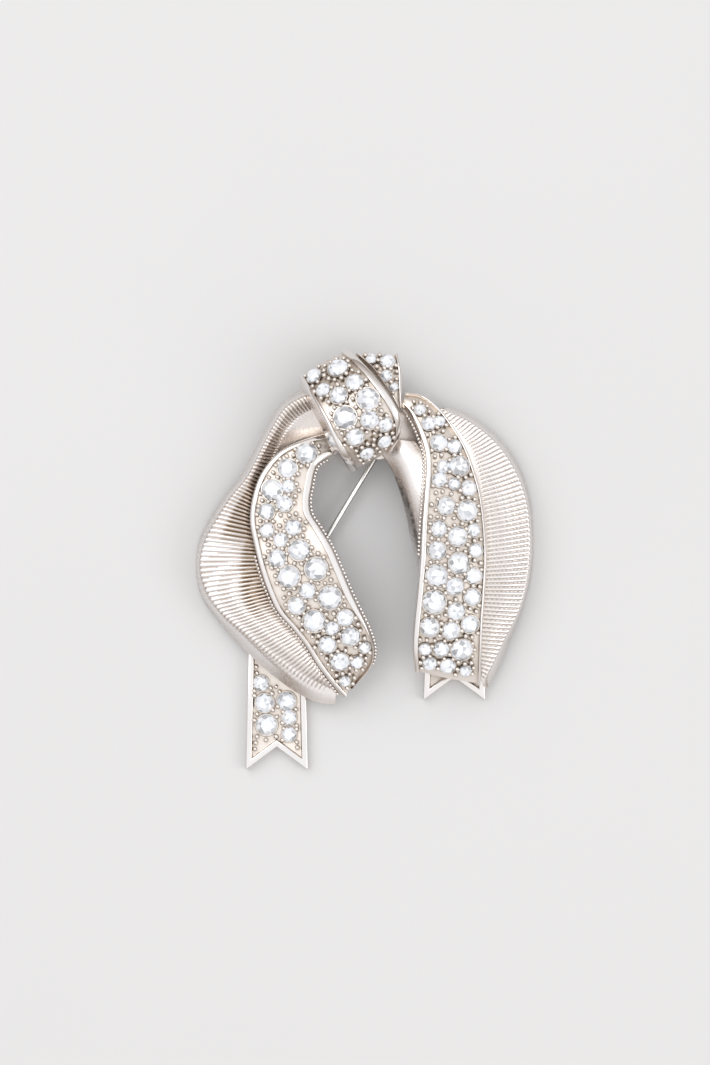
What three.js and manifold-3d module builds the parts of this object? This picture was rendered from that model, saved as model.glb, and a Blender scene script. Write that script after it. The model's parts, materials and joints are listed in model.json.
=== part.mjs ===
// A ribbon-bow brooch: two long stone-set bands hang from a knot, two ribbed loops stand beside
// them, two swallow tails hang below, and a hinged pin with a rotating safety catch is behind.
//
// Millimetres. The brooch lies on its back: +Z is the front, +Y is the top when it is worn, and
// Z = 0 is the surface that it lies on. The origin is under the middle of its outline.

import * as THREE from 'three';
import { mergeVertices } from 'three/addons/utils/BufferGeometryUtils.js';
import Module from 'manifold-3d';

const wasm = await Module();
wasm.setup();

// ---------------------------------------------------------------- driving dimensions

const RIM_WIDTH = 0.75; // polished rim on both sides of a stone-set band
const FOLD_RIM_WIDTH = 0.35;
const RIM_LIMIT = 0.3; // a rim never takes more of its band's width than this
const CHANNEL_DEPTH = 0.55; // the stones' bed lies this far below the rims
const BED_THICKNESS = 0.65; // metal under the stones' bed
const BAND_WALL = 1.5; // height of a band's side wall
const KNOT_WALL = 2.6; // height of the knot's side wall
const BAND_CAMBER = 0.5; // how far the middle of a band stands above its edges
const KNOT_CAMBER = 0.6;
const FOLD_CAMBER = 0.2;

const LOOP_SHEET = 0.7; // thickness of the ribbed loops
const FOLD_SHEET = 0.6; // thickness of the smooth inner fold
// How far a sheet's face bows up, or down where it is below zero.
const LEFT_BOW_START = -0.9;
const LEFT_BOW_END = 0.5;
const RIGHT_BOW = 0.4;
const FOLD_BOW = 0.15;

const CEMENT_THICKNESS = 0.18; // the layer that holds a row of stones in its channel
const PIECE_GAP = 0.06; // between pieces that are soldered or cemented together
const STONE_GAP = 0.12; // between a stone and the metal around it
const GIRDLE_HEIGHT = 0.1; // straight edge of a cut stone
const CROWN_RATIO = 0.24; // height of a stone's crown to its diameter
const TABLE_RATIO = 0.56; // width of a stone's table to its diameter
const FOOT_RATIO = 0.72; // width of a stone's foot to its diameter
const GIRDLE_SINK = 0.12; // a stone's girdle lies this far below the rims

const MILGRAIN_RADIUS = 0.26; // beaded wire along a band's inner edge
const MILGRAIN_DROP = 0.45; // its middle lies this far below the edge

const TAIL_TOP_WIDTH = 8.3;
const TAIL_TIP_WIDTH = 9.1;
const TAIL_THICKNESS = 1.85;
const TAIL_RIM = 0.85;
const TAIL_RECESS = 0.55;
const TAIL_NOTCH = 3.4; // depth of the swallow notch
const TIP_LIFT_RATIO = 2.2; // how far the recess stays above the tips, to its inset
const NOTCH_LIFT_RATIO = 1.3; // and above the notch

const PIN_HEIGHT = 1.9; // the pin's axis above the surface that the brooch lies on
const PIN_RADIUS = 0.4;
const PIN_LENGTH = 29.3; // hinge axis to point
const PIN_ANGLE = THREE.MathUtils.degToRad(238.6); // direction from the hinge to the point
const HINGE_PLACE = [3.4, 18.0];
const CATCH_DISTANCE = 26.4; // hinge axis to the middle of the catch

const RIVET_RADIUS = 0.42;
const RIVET_HOLE = 0.5;
const EAR_RADIUS = 1.9;
const EAR_THICKNESS = 0.6;
const KNUCKLE_RADIUS = 1.2;
const KNUCKLE_WIDTH = 1.8;
const SIDE_CLEARANCE = 0.08;
const HINGE_BASE_THICKNESS = 0.5;
const RIVET_HEAD_RADIUS = 0.85;
const RIVET_HEAD_HEIGHT = 0.4;
const PIN_TAPER = 7; // length of the ground end
const TAPER_MIDDLE = 0.4; // where the taper turns steeper, and how thick the pin is there
const TAPER_MIDDLE_RATIO = 0.7;

const CATCH_RADIUS = 1.9;
const CATCH_BORE = 1.3;
const CATCH_LENGTH = 2.4;
const CATCH_SLOT = 1.6;
const SLEEVE_RADIUS = 1.22;
const SLEEVE_BORE = 0.62;
const SLEEVE_SLOT = 1.16;
const SLEEVE_LENGTH = 4.0;
const TAB_ROOT = 0.9;
const TAB_REACH = 2.3;
const TAB_WIDTH = 0.7;
const TAB_THICKNESS = 0.5;
const CATCH_PLATE_WIDTH = 2.6;
const CATCH_PLATE_THICKNESS = 0.4;
const STUD_RADIUS = 0.9;
const STUD_HEIGHT = 3.2;

const POST_RADIUS = 0.8;
const KNOT_PLATE_BOTTOM = 3.95;
const KNOT_PLATE_THICKNESS = 0.5;

// Each band is given by rows across it, from the knot outwards: [left edge, right edge].
const KNOT_ROWS = [
  [[-9.4, 26.5, 7.4], [-2.5, 30.5, 7.6]],
  [[-8.0, 24.0, 10.4], [-0.8, 28.9, 9.9]],
  [[-6.6, 21.6, 12.2], [1.2, 26.6, 11.7]],
  [[-5.4, 19.4, 13.0], [3.0, 24.2, 12.8]],
  [[-4.4, 17.2, 13.0], [4.4, 22.0, 12.8]],
  [[-3.5, 15.2, 12.0], [5.2, 19.9, 11.8]],
  [[-2.8, 13.8, 10.4], [5.0, 17.8, 10.2]],
  [[-2.2, 12.7, 8.4], [4.0, 15.9, 8.4]],
];
const FOLD_ROWS = [
  [[-1.3, 30.0, 6.6], [4.8, 29.9, 6.0]],
  [[0.7, 28.2, 7.4], [5.2, 27.8, 7.0]],
  [[2.3, 26.1, 7.8], [5.3, 25.6, 7.3]],
  [[3.7, 24.0, 7.6], [5.3, 23.6, 7.2]],
  [[4.7, 22.3, 7.0], [5.3, 22.0, 6.8]],
];
const LEFT_BAND_ROWS = [
  [[-3.4, 18.6, 6.7], [-3.2, 15.8, 7.0]],
  [[-6.2, 18.2, 7.0], [-5.4, 14.8, 7.3]],
  [[-9.5, 17.2, 7.5], [-6.8, 13.9, 7.7]],
  [[-12.6, 15.5, 7.8], [-7.4, 12.6, 8.1]],
  [[-15.0, 12.5, 8.0], [-7.8, 10.6, 8.4]],
  [[-16.2, 9.2, 8.2], [-8.1, 8.8, 8.6]],
  [[-16.6, 5.8, 8.4], [-7.9, 6.8, 8.8]],
  [[-16.0, 2.4, 8.6], [-6.6, 4.7, 9.0]],
  [[-15.1, -1.2, 8.8], [-5.0, 2.0, 9.4]],
  [[-14.0, -4.4, 8.8], [-3.5, -1.4, 9.6]],
  [[-12.6, -7.4, 8.6], [-2.0, -4.9, 9.6]],
  [[-10.4, -10.0, 8.2], [-0.6, -7.8, 9.4]],
  [[-8.6, -12.4, 7.6], [0.5, -10.2, 8.8]],
  [[-6.9, -15.2, 6.9], [1.25, -12.8, 7.6]],
  [[-5.0, -17.8, 6.0], [0.9, -15.4, 6.2]],
  [[-3.2, -20.0, 5.0], [-1.8, -18.6, 5.0]],
];
const RIGHT_BAND_ROWS = [
  [[5.3, 22.1, 6.4], [5.9, 24.4, 5.6]],
  [[6.1, 21.4, 7.0], [8.2, 24.0, 6.0]],
  [[6.9, 20.2, 7.7], [10.5, 22.3, 6.6]],
  [[8.0, 17.8, 8.4], [12.7, 19.5, 7.3]],
  [[8.65, 15.6, 9.0], [14.6, 16.2, 7.9]],
  [[8.8, 13.4, 9.4], [15.7, 13.2, 8.4]],
  [[8.55, 9.6, 9.8], [16.7, 9.6, 8.8]],
  [[8.2, 5.0, 10.0], [17.3, 5.0, 9.0]],
  [[8.0, 0.5, 10.0], [17.5, 0.5, 9.0]],
  [[7.6, -4.5, 9.8], [17.3, -4.0, 8.8]],
  [[7.15, -9.0, 9.2], [17.0, -9.0, 8.2]],
  [[6.95, -13.0, 8.0], [16.9, -13.5, 7.0]],
  [[7.2, -16.2, 6.2], [16.8, -18.2, 5.0]],
];

// Each loop is given by rows across it: [inner edge, crest, foot of the turned-down wall].
const LEFT_LOOP_ROWS = [
  [[-5.6, 20.0, 6.8], [-8.5, 23.8, 8.0], [-9.4, 24.7, 5.0]],
  [[-6.6, 17.6, 5.3], [-11.3, 22.3, 7.9], [-12.1, 23.0, 4.3]],
  [[-9.6, 16.6, 5.1], [-13.6, 18.9, 7.4], [-14.4, 19.5, 3.6]],
  [[-12.6, 14.8, 5.4], [-15.5, 15.2, 7.0], [-16.4, 15.6, 3.0]],
  [[-14.6, 11.0, 5.4], [-17.2, 12.0, 6.6], [-18.2, 12.4, 2.4]],
  [[-15.8, 7.6, 5.4], [-19.6, 9.2, 6.2], [-20.5, 9.4, 1.6]],
  [[-16.0, 4.6, 5.4], [-21.9, 5.8, 5.8], [-22.8, 5.9, 0.8]],
  [[-15.0, 1.8, 5.6], [-23.6, 2.7, 5.6], [-24.3, 2.7, 0.3]],
  [[-13.8, -0.5, 5.8], [-24.3, -0.7, 5.4], [-24.8, -0.7, 0.12]],
  [[-12.6, -2.8, 5.9], [-23.5, -4.4, 5.4], [-24.2, -4.9, 0.3]],
  [[-11.8, -5.3, 5.9], [-21.2, -7.8, 5.4], [-21.8, -8.6, 0.8]],
  [[-10.2, -7.8, 5.8], [-18.0, -10.6, 5.2], [-18.8, -11.9, 1.8]],
  [[-8.4, -9.9, 5.6], [-15.0, -13.2, 5.0], [-15.9, -14.8, 2.6]],
  [[-6.8, -12.2, 5.2], [-12.0, -15.5, 4.8], [-12.8, -17.4, 2.9]],
  [[-5.6, -14.6, 4.6], [-9.2, -17.5, 4.4], [-9.6, -19.6, 2.9]],
  [[-5.0, -17.4, 4.0], [-6.8, -18.7, 3.9], [-6.6, -20.9, 2.8]],
  [[-3.8, -19.0, 3.6], [-4.4, -19.8, 3.5], [-4.2, -21.1, 2.8]],
];
const RIGHT_LOOP_ROWS = [
  [[9.6, 22.3, 4.8], [11.6, 21.9, 4.9], [12.4, 22.4, 3.6]],
  [[12.0, 19.6, 5.5], [14.6, 20.5, 5.4], [15.4, 21.1, 3.0]],
  [[13.6, 17.2, 6.0], [17.2, 18.8, 5.6], [18.1, 19.2, 2.4]],
  [[14.7, 15.0, 6.3], [19.6, 16.5, 5.7], [20.5, 16.8, 1.8]],
  [[15.5, 12.6, 6.6], [21.4, 13.9, 5.7], [22.3, 14.2, 1.2]],
  [[16.2, 10.0, 6.8], [22.8, 11.0, 5.7], [23.6, 11.2, 0.7]],
  [[16.7, 7.0, 7.0], [23.7, 7.6, 5.7], [24.4, 7.7, 0.35]],
  [[16.9, 4.0, 7.0], [24.05, 4.2, 5.7], [24.7, 4.3, 0.14]],
  [[17.0, 1.0, 7.0], [24.05, 0.8, 5.7], [24.7, 0.8, 0.14]],
  [[16.9, -2.0, 6.9], [23.7, -2.6, 5.6], [24.3, -2.8, 0.3]],
  [[16.8, -5.0, 6.7], [22.9, -6.0, 5.4], [23.4, -6.4, 0.6]],
  [[16.7, -8.0, 6.3], [21.7, -9.0, 5.0], [22.3, -9.5, 1.1]],
  [[16.6, -11.0, 5.6], [20.3, -11.7, 4.6], [21.0, -12.4, 1.6]],
  [[16.6, -13.8, 4.6], [19.0, -14.4, 4.2], [19.7, -15.2, 2.2]],
  [[16.8, -16.0, 3.8], [17.9, -16.6, 3.7], [18.5, -17.5, 2.4]],
  [[16.9, -17.6, 3.0], [17.3, -18.0, 3.0], [17.8, -18.8, 2.4]],
];

// The smooth inner fold: [free edge, middle, edge under the right band].
const INNER_FOLD_ROWS = [
  [[1.6, 16.4, 5.3], [4.6, 17.4, 6.6], [7.4, 17.2, 6.4]],
  [[2.6, 15.0, 5.2], [5.4, 14.9, 6.8], [8.7, 14.6, 7.0]],
  [[3.9, 12.9, 5.2], [6.1, 12.4, 6.8], [8.8, 12.0, 7.4]],
  [[4.9, 10.2, 5.2], [6.6, 9.6, 6.8], [8.7, 9.2, 7.8]],
  [[5.8, 7.0, 5.3], [7.1, 6.4, 6.9], [8.5, 6.2, 8.0]],
  [[6.5, 3.5, 5.5], [7.4, 3.2, 6.9], [8.4, 3.2, 8.0]],
  [[7.2, 0.2, 5.8], [7.7, 0.2, 6.9], [8.2, 0.4, 7.8]],
  [[7.6, -2.0, 6.2], [7.8, -2.0, 6.9], [8.1, -1.8, 7.6]],
];

// Stones by their place in plan and their diameter: [x, y, diameter].
const KNOT_STONES = [
  [-7.5, 26.7, 2.2], [-4.0, 27.8, 2.8], [-6.1, 24.5, 2.0], [-3.9, 23.7, 2.4],
  [-1.6, 25.6, 2.4], [0.4, 23.1, 3.0], [-2.9, 20.4, 3.0], [0.7, 20.0, 2.4],
  [3.0, 19.3, 2.0], [-1.4, 17.5, 2.4], [0.3, 15.2, 2.0], [2.9, 16.9, 2.0],
];
const FOLD_STONES = [[0.9, 29.3, 1.5], [3.3, 28.9, 2.1], [3.1, 26.7, 1.6], [4.2, 25.0, 1.2]];
const LEFT_BAND_STONES = [
  [-8.4, 15.6, 2.8], [-11.2, 13.3, 2.6], [-13.4, 10.2, 2.8], [-11.0, 10.7, 1.8],
  [-11.6, 8.2, 2.2], [-14.2, 7.1, 2.2], [-14.2, 4.4, 2.0], [-10.3, 4.8, 2.2],
  [-12.2, 3.0, 2.0], [-9.5, 1.6, 2.8], [-12.7, 0.4, 2.4], [-7.0, -1.2, 3.0],
  [-11.0, -2.4, 3.0], [-8.3, -4.3, 2.2], [-5.0, -5.4, 3.1], [-9.9, -6.6, 2.4],
  [-2.8, -8.3, 2.3], [-7.3, -8.8, 3.0], [-4.7, -9.9, 1.9], [-2.0, -11.2, 2.6],
  [-5.4, -12.4, 2.4], [0.0, -12.7, 1.6], [-3.6, -14.8, 2.6], [-1.1, -14.9, 1.8],
  [-2.9, -17.7, 1.6],
];
const RIGHT_BAND_STONES = [
  [7.8, 21.8, 1.6], [9.0, 19.7, 1.9], [10.8, 20.2, 1.6], [10.6, 17.0, 2.3],
  [12.9, 16.4, 2.0], [13.6, 13.6, 2.7], [11.2, 13.6, 1.8], [10.7, 11.6, 2.0],
  [12.8, 11.1, 1.6], [15.0, 10.4, 2.1], [11.6, 7.9, 2.4], [14.7, 7.2, 2.8],
  [10.6, 4.6, 2.2], [15.7, 4.4, 1.8], [13.3, 3.4, 2.6], [10.3, 1.3, 2.4],
  [16.0, 1.4, 1.9], [13.5, -0.4, 2.8], [10.3, -2.1, 2.9], [15.7, -2.2, 2.2],
  [12.9, -3.9, 2.4], [15.5, -5.3, 2.3], [9.8, -6.1, 3.1], [13.1, -7.5, 2.4],
  [15.2, -9.2, 2.4], [9.3, -9.8, 2.6], [12.4, -10.3, 2.4], [8.5, -13.0, 1.7],
  [11.0, -12.9, 2.1], [14.0, -13.1, 3.0], [9.3, -15.1, 2.0], [11.9, -15.4, 2.2],
  [14.6, -16.1, 1.7],
];
// The tail's stones by their place from the middle of its tips.
const TAIL_STONES = [
  [-2.3, 12.7, 2.1], [-1.8, 9.8, 2.5], [1.4, 10.1, 2.5], [-1.5, 6.6, 2.8], [1.8, 7.7, 2.0],
  [1.8, 5.2, 2.0],
];

// ---------------------------------------------------------------- finishes

const rhodium = () => new THREE.MeshStandardMaterial({ color: 0xc9c5bd, roughness: 0.2, metalness: 1 });
const satin = () => new THREE.MeshStandardMaterial({ color: 0xbdb6ab, roughness: 0.4, metalness: 1 });
const steel = () => new THREE.MeshStandardMaterial({ color: 0xb9b9b7, roughness: 0.25, metalness: 1 });
const crystal = () => new THREE.MeshStandardMaterial({ color: 0xf2f4f8, roughness: 0.05, metalness: 0 });

// ---------------------------------------------------------------- solids from grids of points

function solidFrom(positions, triangles) {
  const geometry = new THREE.BufferGeometry();
  geometry.setAttribute('position', new THREE.Float32BufferAttribute(positions, 3));
  geometry.setIndex(signedVolume(positions, triangles) < 0 ? reversed(triangles) : triangles);
  geometry.computeVertexNormals();
  return geometry;
}

function reversed(triangles) {
  const turned = [];
  for (let i = 0; i < triangles.length; i += 3) {
    turned.push(triangles[i], triangles[i + 2], triangles[i + 1]);
  }
  return turned;
}

function signedVolume(positions, triangles) {
  const corner = (index) => new THREE.Vector3().fromArray(positions, 3 * index);
  let volume = 0;
  for (let i = 0; i < triangles.length; i += 3) {
    const [a, b, c] = [corner(triangles[i]), corner(triangles[i + 1]), corner(triangles[i + 2])];
    volume += a.dot(b.cross(c)) / 6;
  }
  return volume;
}

// Closed sections of the same number of points, joined one after another and capped at both ends.
// The caps are cut up by the flat outline of their section.
function loftSections(sections, startOutline, endOutline) {
  const count = sections[0].length;
  const positions = sections.flat().flatMap((point) => point.toArray());
  const triangles = [];
  for (let s = 0; s + 1 < sections.length; s += 1) {
    for (let i = 0; i < count; i += 1) {
      const a = s * count + i;
      const b = s * count + ((i + 1) % count);
      triangles.push(a, b, b + count, a, b + count, a + count);
    }
  }
  const last = (sections.length - 1) * count;
  const cap = (outline, base, flip) => {
    const clockwise = THREE.ShapeUtils.isClockWise(outline);
    for (const face of THREE.ShapeUtils.triangulateShape(outline, [])) {
      const [a, b, c] = face.map((index) => base + index);
      if (flip === clockwise) triangles.push(a, b, c);
      else triangles.push(a, c, b);
    }
  };
  cap(startOutline, 0, true);
  cap(endOutline, last, false);
  return solidFrom(positions, triangles);
}

// ---------------------------------------------------------------- bands

function makeBand(rows, camber, rimWidth) {
  const edge = (side) => new THREE.CatmullRomCurve3(rows.map((row) => new THREE.Vector3(...row[side])));
  return { left: edge(0), right: edge(1), camber, rimWidth };
}

function bandFrame(band, along) {
  const left = band.left.getPoint(along);
  const right = band.right.getPoint(along);
  const middle = (at) => band.left.getPoint(at).add(band.right.getPoint(at));
  const across = right.clone().sub(left);
  const width = across.length();
  const step = 0.005;
  const forward = middle(Math.min(along + step, 1)).sub(middle(Math.max(along - step, 0)));
  const normal = forward.cross(across).normalize();
  if (normal.z < 0) normal.negate();
  return { left, across: across.normalize(), normal, width };
}

// A point of the band: millimetres from its left edge, and height above the line between its edges.
function bandPoint(band, frame, offset, height) {
  const share = THREE.MathUtils.clamp(offset / frame.width, 0, 1);
  const rise = height + band.camber * 4 * share * (1 - share);
  return frame.left.clone().addScaledVector(frame.across, offset).addScaledVector(frame.normal, rise);
}

function loftBand(band, steps, outlineAt, from = 0, to = 1) {
  const sections = [];
  const outlines = [];
  for (let s = 0; s <= steps; s += 1) {
    const frame = bandFrame(band, from + ((to - from) * s) / steps);
    const outline = outlineAt(frame.width);
    outlines.push(outline.map(([offset, height]) => new THREE.Vector2(offset, height)));
    sections.push(outline.map(([offset, height]) => bandPoint(band, frame, offset, height)));
  }
  return loftSections(sections, outlines[0], outlines[steps]);
}

// The stones' field has two points between its sides, so that it can follow the camber.
const FIELD_LOW = 0.36;
const FIELD_HIGH = 0.64;

// A rimmed channel: two raised rims with the stones' bed between them, hollow behind.
function channelOutline(width, wall, rimWidth) {
  const rim = Math.min(rimWidth, width * RIM_LIMIT);
  const bed = -CHANNEL_DEPTH;
  const back = bed - BED_THICKNESS;
  return [
    [0, -wall], [0, 0], [rim, 0], [rim, bed],
    [width * FIELD_LOW, bed], [width * FIELD_HIGH, bed], [width - rim, bed],
    [width - rim, 0], [width, 0], [width, -wall], [width - rim, back], [rim, back],
  ];
}

function cementOutline(width) {
  const side = Math.min(RIM_WIDTH, width * RIM_LIMIT) + PIECE_GAP;
  const low = PIECE_GAP - CHANNEL_DEPTH;
  const high = low + CEMENT_THICKNESS;
  return [
    [side, low], [side, high], [width * FIELD_LOW, high], [width * FIELD_HIGH, high],
    [width - side, high], [width - side, low], [width * FIELD_HIGH, low], [width * FIELD_LOW, low],
  ];
}

function roundWireOutline(offset, height, radius, sides) {
  const outline = [];
  for (let i = 0; i < sides; i += 1) {
    const turn = (2 * Math.PI * i) / sides;
    outline.push([offset + radius * Math.cos(turn), height + radius * Math.sin(turn)]);
  }
  return outline;
}

// ---------------------------------------------------------------- stones

function cutStone(diameter, foot, sides) {
  const radius = diameter / 2;
  const girdle = -GIRDLE_SINK;
  const profile = [
    [0, foot], [radius * FOOT_RATIO, foot], [radius, girdle - GIRDLE_HEIGHT], [radius, girdle],
    [radius * TABLE_RATIO, girdle + CROWN_RATIO * diameter], [0, girdle + CROWN_RATIO * diameter],
  ];
  const stone = new THREE.LatheGeometry(profile.map(([r, h]) => new THREE.Vector2(r, h)), sides);
  stone.rotateX(Math.PI / 2);
  return stone;
}

// Where a stone at a place in plan sits on a band, and which way it faces. A stone that would
// touch a rim is moved inwards.
function seatOn(band, [x, y, diameter]) {
  const scan = 240;
  let best = { miss: Infinity };
  for (let s = 0; s <= scan; s += 1) {
    const frame = bandFrame(band, s / scan);
    const flat = Math.hypot(frame.across.x, frame.across.y);
    const offset = ((x - frame.left.x) * frame.across.x + (y - frame.left.y) * frame.across.y) / flat ** 2;
    const rim = Math.min(band.rimWidth, frame.width * RIM_LIMIT);
    const margin = Math.min(rim + STONE_GAP + diameter / 2, frame.width / 2);
    const inside = THREE.MathUtils.clamp(offset, margin, frame.width - margin);
    const point = bandPoint(band, frame, inside, 0);
    const miss = Math.hypot(point.x - x, point.y - y);
    if (miss < best.miss) best = { miss, point, normal: frame.normal };
  }
  return best;
}

function placeStone(geometry, seat) {
  const turn = new THREE.Quaternion().setFromUnitVectors(new THREE.Vector3(0, 0, 1), seat.normal);
  geometry.applyQuaternion(turn);
  geometry.translate(seat.point.x, seat.point.y, seat.point.z);
  return geometry;
}

// ---------------------------------------------------------------- joining and cutting

function toSolid(geometry) {
  const bare = geometry.clone();
  bare.deleteAttribute('normal');
  bare.deleteAttribute('uv');
  const merged = mergeVertices(bare, 1e-4);
  const vertProperties = new Float32Array(merged.attributes.position.array);
  const triVerts = new Uint32Array(merged.index.array);
  return new wasm.Manifold(new wasm.Mesh({ numProp: 3, vertProperties, triVerts }));
}

function toGeometry(solid) {
  const mesh = solid.getMesh();
  const geometry = new THREE.BufferGeometry();
  geometry.setAttribute('position', new THREE.BufferAttribute(new Float32Array(mesh.vertProperties), 3));
  geometry.setIndex(new THREE.BufferAttribute(new Uint32Array(mesh.triVerts), 1));
  geometry.computeVertexNormals();
  return geometry;
}

// ---------------------------------------------------------------- sheets

// A sheet of even thickness through rows of three points, bowed across its first stretch by bow(u).
function sheetSolid(rows, steps, thickness, bow, wallSteps) {
  const columns = [0, 1, 2].map(
    (column) => new THREE.CatmullRomCurve3(rows.map((row) => new THREE.Vector3(...row[column]))),
  );
  const faceSteps = 4;
  const lastAcross = faceSteps + wallSteps;
  const surface = (along, acrossStep) => {
    const [inner, crest, foot] = columns.map((curve) => curve.getPoint(along));
    if (acrossStep > faceSteps) return crest.lerp(foot, (acrossStep - faceSteps) / wallSteps);
    const share = acrossStep / faceSteps;
    const point = inner.lerp(crest, share);
    point.z += bow(along) * Math.sin(Math.PI * share);
    return point;
  };
  const normalAt = (along, acrossStep) => {
    const step = 0.01;
    const ahead = surface(Math.min(along + step, 1), acrossStep);
    const forward = ahead.sub(surface(Math.max(along - step, 0), acrossStep));
    const low = Math.max(acrossStep - 0.5, 0);
    const high = Math.min(acrossStep + 0.5, lastAcross);
    const sideways = surface(along, high).sub(surface(along, low));
    return forward.cross(sideways).normalize();
  };
  const facing = normalAt(0.5, 1).z > 0 ? 1 : -1;
  const sections = [];
  const outlines = [];
  for (let s = 0; s <= steps; s += 1) {
    const along = s / steps;
    const front = [];
    const back = [];
    for (let a = 0; a <= lastAcross; a += 1) {
      const point = surface(along, a);
      front.push(point);
      back.unshift(point.clone().addScaledVector(normalAt(along, a), -thickness * facing));
    }
    const section = [...front, ...back];
    sections.push(section);
    outlines.push(flattened(section));
  }
  return loftSections(sections, outlines[0], outlines[steps]);
}

// A section seen square on, for cutting up its cap.
function flattened(section) {
  const origin = section[0];
  const sideways = section[Math.floor(section.length / 2) - 1].clone().sub(origin).normalize();
  const outward = section[section.length - 1].clone().sub(origin);
  const upright = outward.addScaledVector(sideways, -outward.dot(sideways)).normalize();
  return section.map((point) => {
    const arm = point.clone().sub(origin);
    return new THREE.Vector2(arm.dot(sideways), arm.dot(upright));
  });
}

// ---------------------------------------------------------------- the brooch

const brooch = new THREE.Group();

function add(name, geometry, material, parent = brooch) {
  const mesh = new THREE.Mesh(geometry, material);
  mesh.name = name;
  parent.add(mesh);
  return mesh;
}

const knot = makeBand(KNOT_ROWS, KNOT_CAMBER, RIM_WIDTH);
const fold = makeBand(FOLD_ROWS, FOLD_CAMBER, FOLD_RIM_WIDTH);
const leftBand = makeBand(LEFT_BAND_ROWS, BAND_CAMBER, RIM_WIDTH);
const rightBand = makeBand(RIGHT_BAND_ROWS, BAND_CAMBER, RIM_WIDTH);

function buildBands() {
  const bands = [
    ['knot_band', knot, 20, KNOT_WALL], ['knot_upper_fold', fold, 8, BAND_WALL],
    ['left_band', leftBand, 34, BAND_WALL], ['right_band', rightBand, 30, BAND_WALL],
  ];
  for (const [name, band, steps, wall] of bands) {
    add(name, loftBand(band, steps, (width) => channelOutline(width, wall, band.rimWidth)), rhodium());
  }
}

function buildMilgrain() {
  const reach = MILGRAIN_RADIUS + PIECE_GAP;
  const outsideRight = (width) => roundWireOutline(width + reach, -MILGRAIN_DROP, MILGRAIN_RADIUS, 6);
  const outsideLeft = () => roundWireOutline(-reach, -MILGRAIN_DROP, MILGRAIN_RADIUS, 6);
  add('left_milgrain', loftBand(leftBand, 40, outsideRight, 0.07, 0.93), rhodium());
  add('right_milgrain', loftBand(rightBand, 32, outsideLeft, 0.1, 0.66), rhodium());
}

function buildSingleStones() {
  const foot = STONE_GAP - CHANNEL_DEPTH;
  const groups = [['knot_crystal', knot, KNOT_STONES], ['fold_crystal', fold, FOLD_STONES]];
  for (const [name, band, stones] of groups) {
    stones.forEach((stone, index) => {
      const geometry = placeStone(cutStone(stone[2], foot, 8), seatOn(band, stone));
      add(`${name}_${index + 1}`, geometry, crystal());
    });
  }
}

function buildBandStones(name, band, stones, from, to) {
  let row = toSolid(loftBand(band, 22, cementOutline, from, to));
  const foot = STONE_GAP - CHANNEL_DEPTH;
  for (const stone of stones) {
    row = row.add(toSolid(placeStone(cutStone(stone[2], foot, 6), seatOn(band, stone))));
  }
  add(name, toGeometry(row), crystal());
}

function buildSheets() {
  const { lerp, smoothstep } = THREE.MathUtils;
  const leftBow = (along) => lerp(LEFT_BOW_START, LEFT_BOW_END, smoothstep(along, 0.1, 0.5));
  const rightBow = (along) => RIGHT_BOW * Math.sin(Math.PI * along);
  add('left_loop', sheetSolid(LEFT_LOOP_ROWS, 34, LOOP_SHEET, leftBow, 2), satin());
  add('right_loop', sheetSolid(RIGHT_LOOP_ROWS, 30, LOOP_SHEET, rightBow, 2), satin());
  add('right_inner_fold', sheetSolid(INNER_FOLD_ROWS, 16, FOLD_SHEET, () => FOLD_BOW, 2), satin());
}

// A flat ribbon end with a swallow notch: the tips are at y = 0, the ribbon runs up to its length.
function tailOutline(inset, length) {
  const tip = TAIL_TIP_WIDTH / 2 - inset;
  const top = TAIL_TOP_WIDTH / 2 - inset;
  const tipLift = inset * TIP_LIFT_RATIO;
  const notch = TAIL_NOTCH + inset * NOTCH_LIFT_RATIO;
  return [
    [-tip, tipLift], [0, notch], [tip, tipLift], [top, length - inset], [-top, length - inset],
  ].map(([x, y]) => new THREE.Vector2(x, y));
}

function buildTail(side, centre, tipsY, length, shownStones) {
  const tail = new THREE.Group();
  tail.position.set(centre, tipsY, 0);
  brooch.add(tail);
  const block = new THREE.ExtrudeGeometry(new THREE.Shape(tailOutline(0, length)), {
    depth: TAIL_THICKNESS, bevelEnabled: false,
  });
  const recess = new THREE.ExtrudeGeometry(new THREE.Shape(tailOutline(TAIL_RIM, length)), {
    depth: TAIL_RECESS * 2, bevelEnabled: false,
  });
  recess.translate(0, 0, TAIL_THICKNESS - TAIL_RECESS);
  add(`${side}_tail`, toGeometry(toSolid(block).subtract(toSolid(recess))), rhodium(), tail);
  shownStones.forEach(([x, y, diameter], index) => {
    const geometry = cutStone(diameter, STONE_GAP - TAIL_RECESS, 8);
    const stone = add(`${side}_tail_crystal_${index + 1}`, geometry, crystal(), tail);
    stone.position.set(x, y, TAIL_THICKNESS);
  });
}

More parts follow.
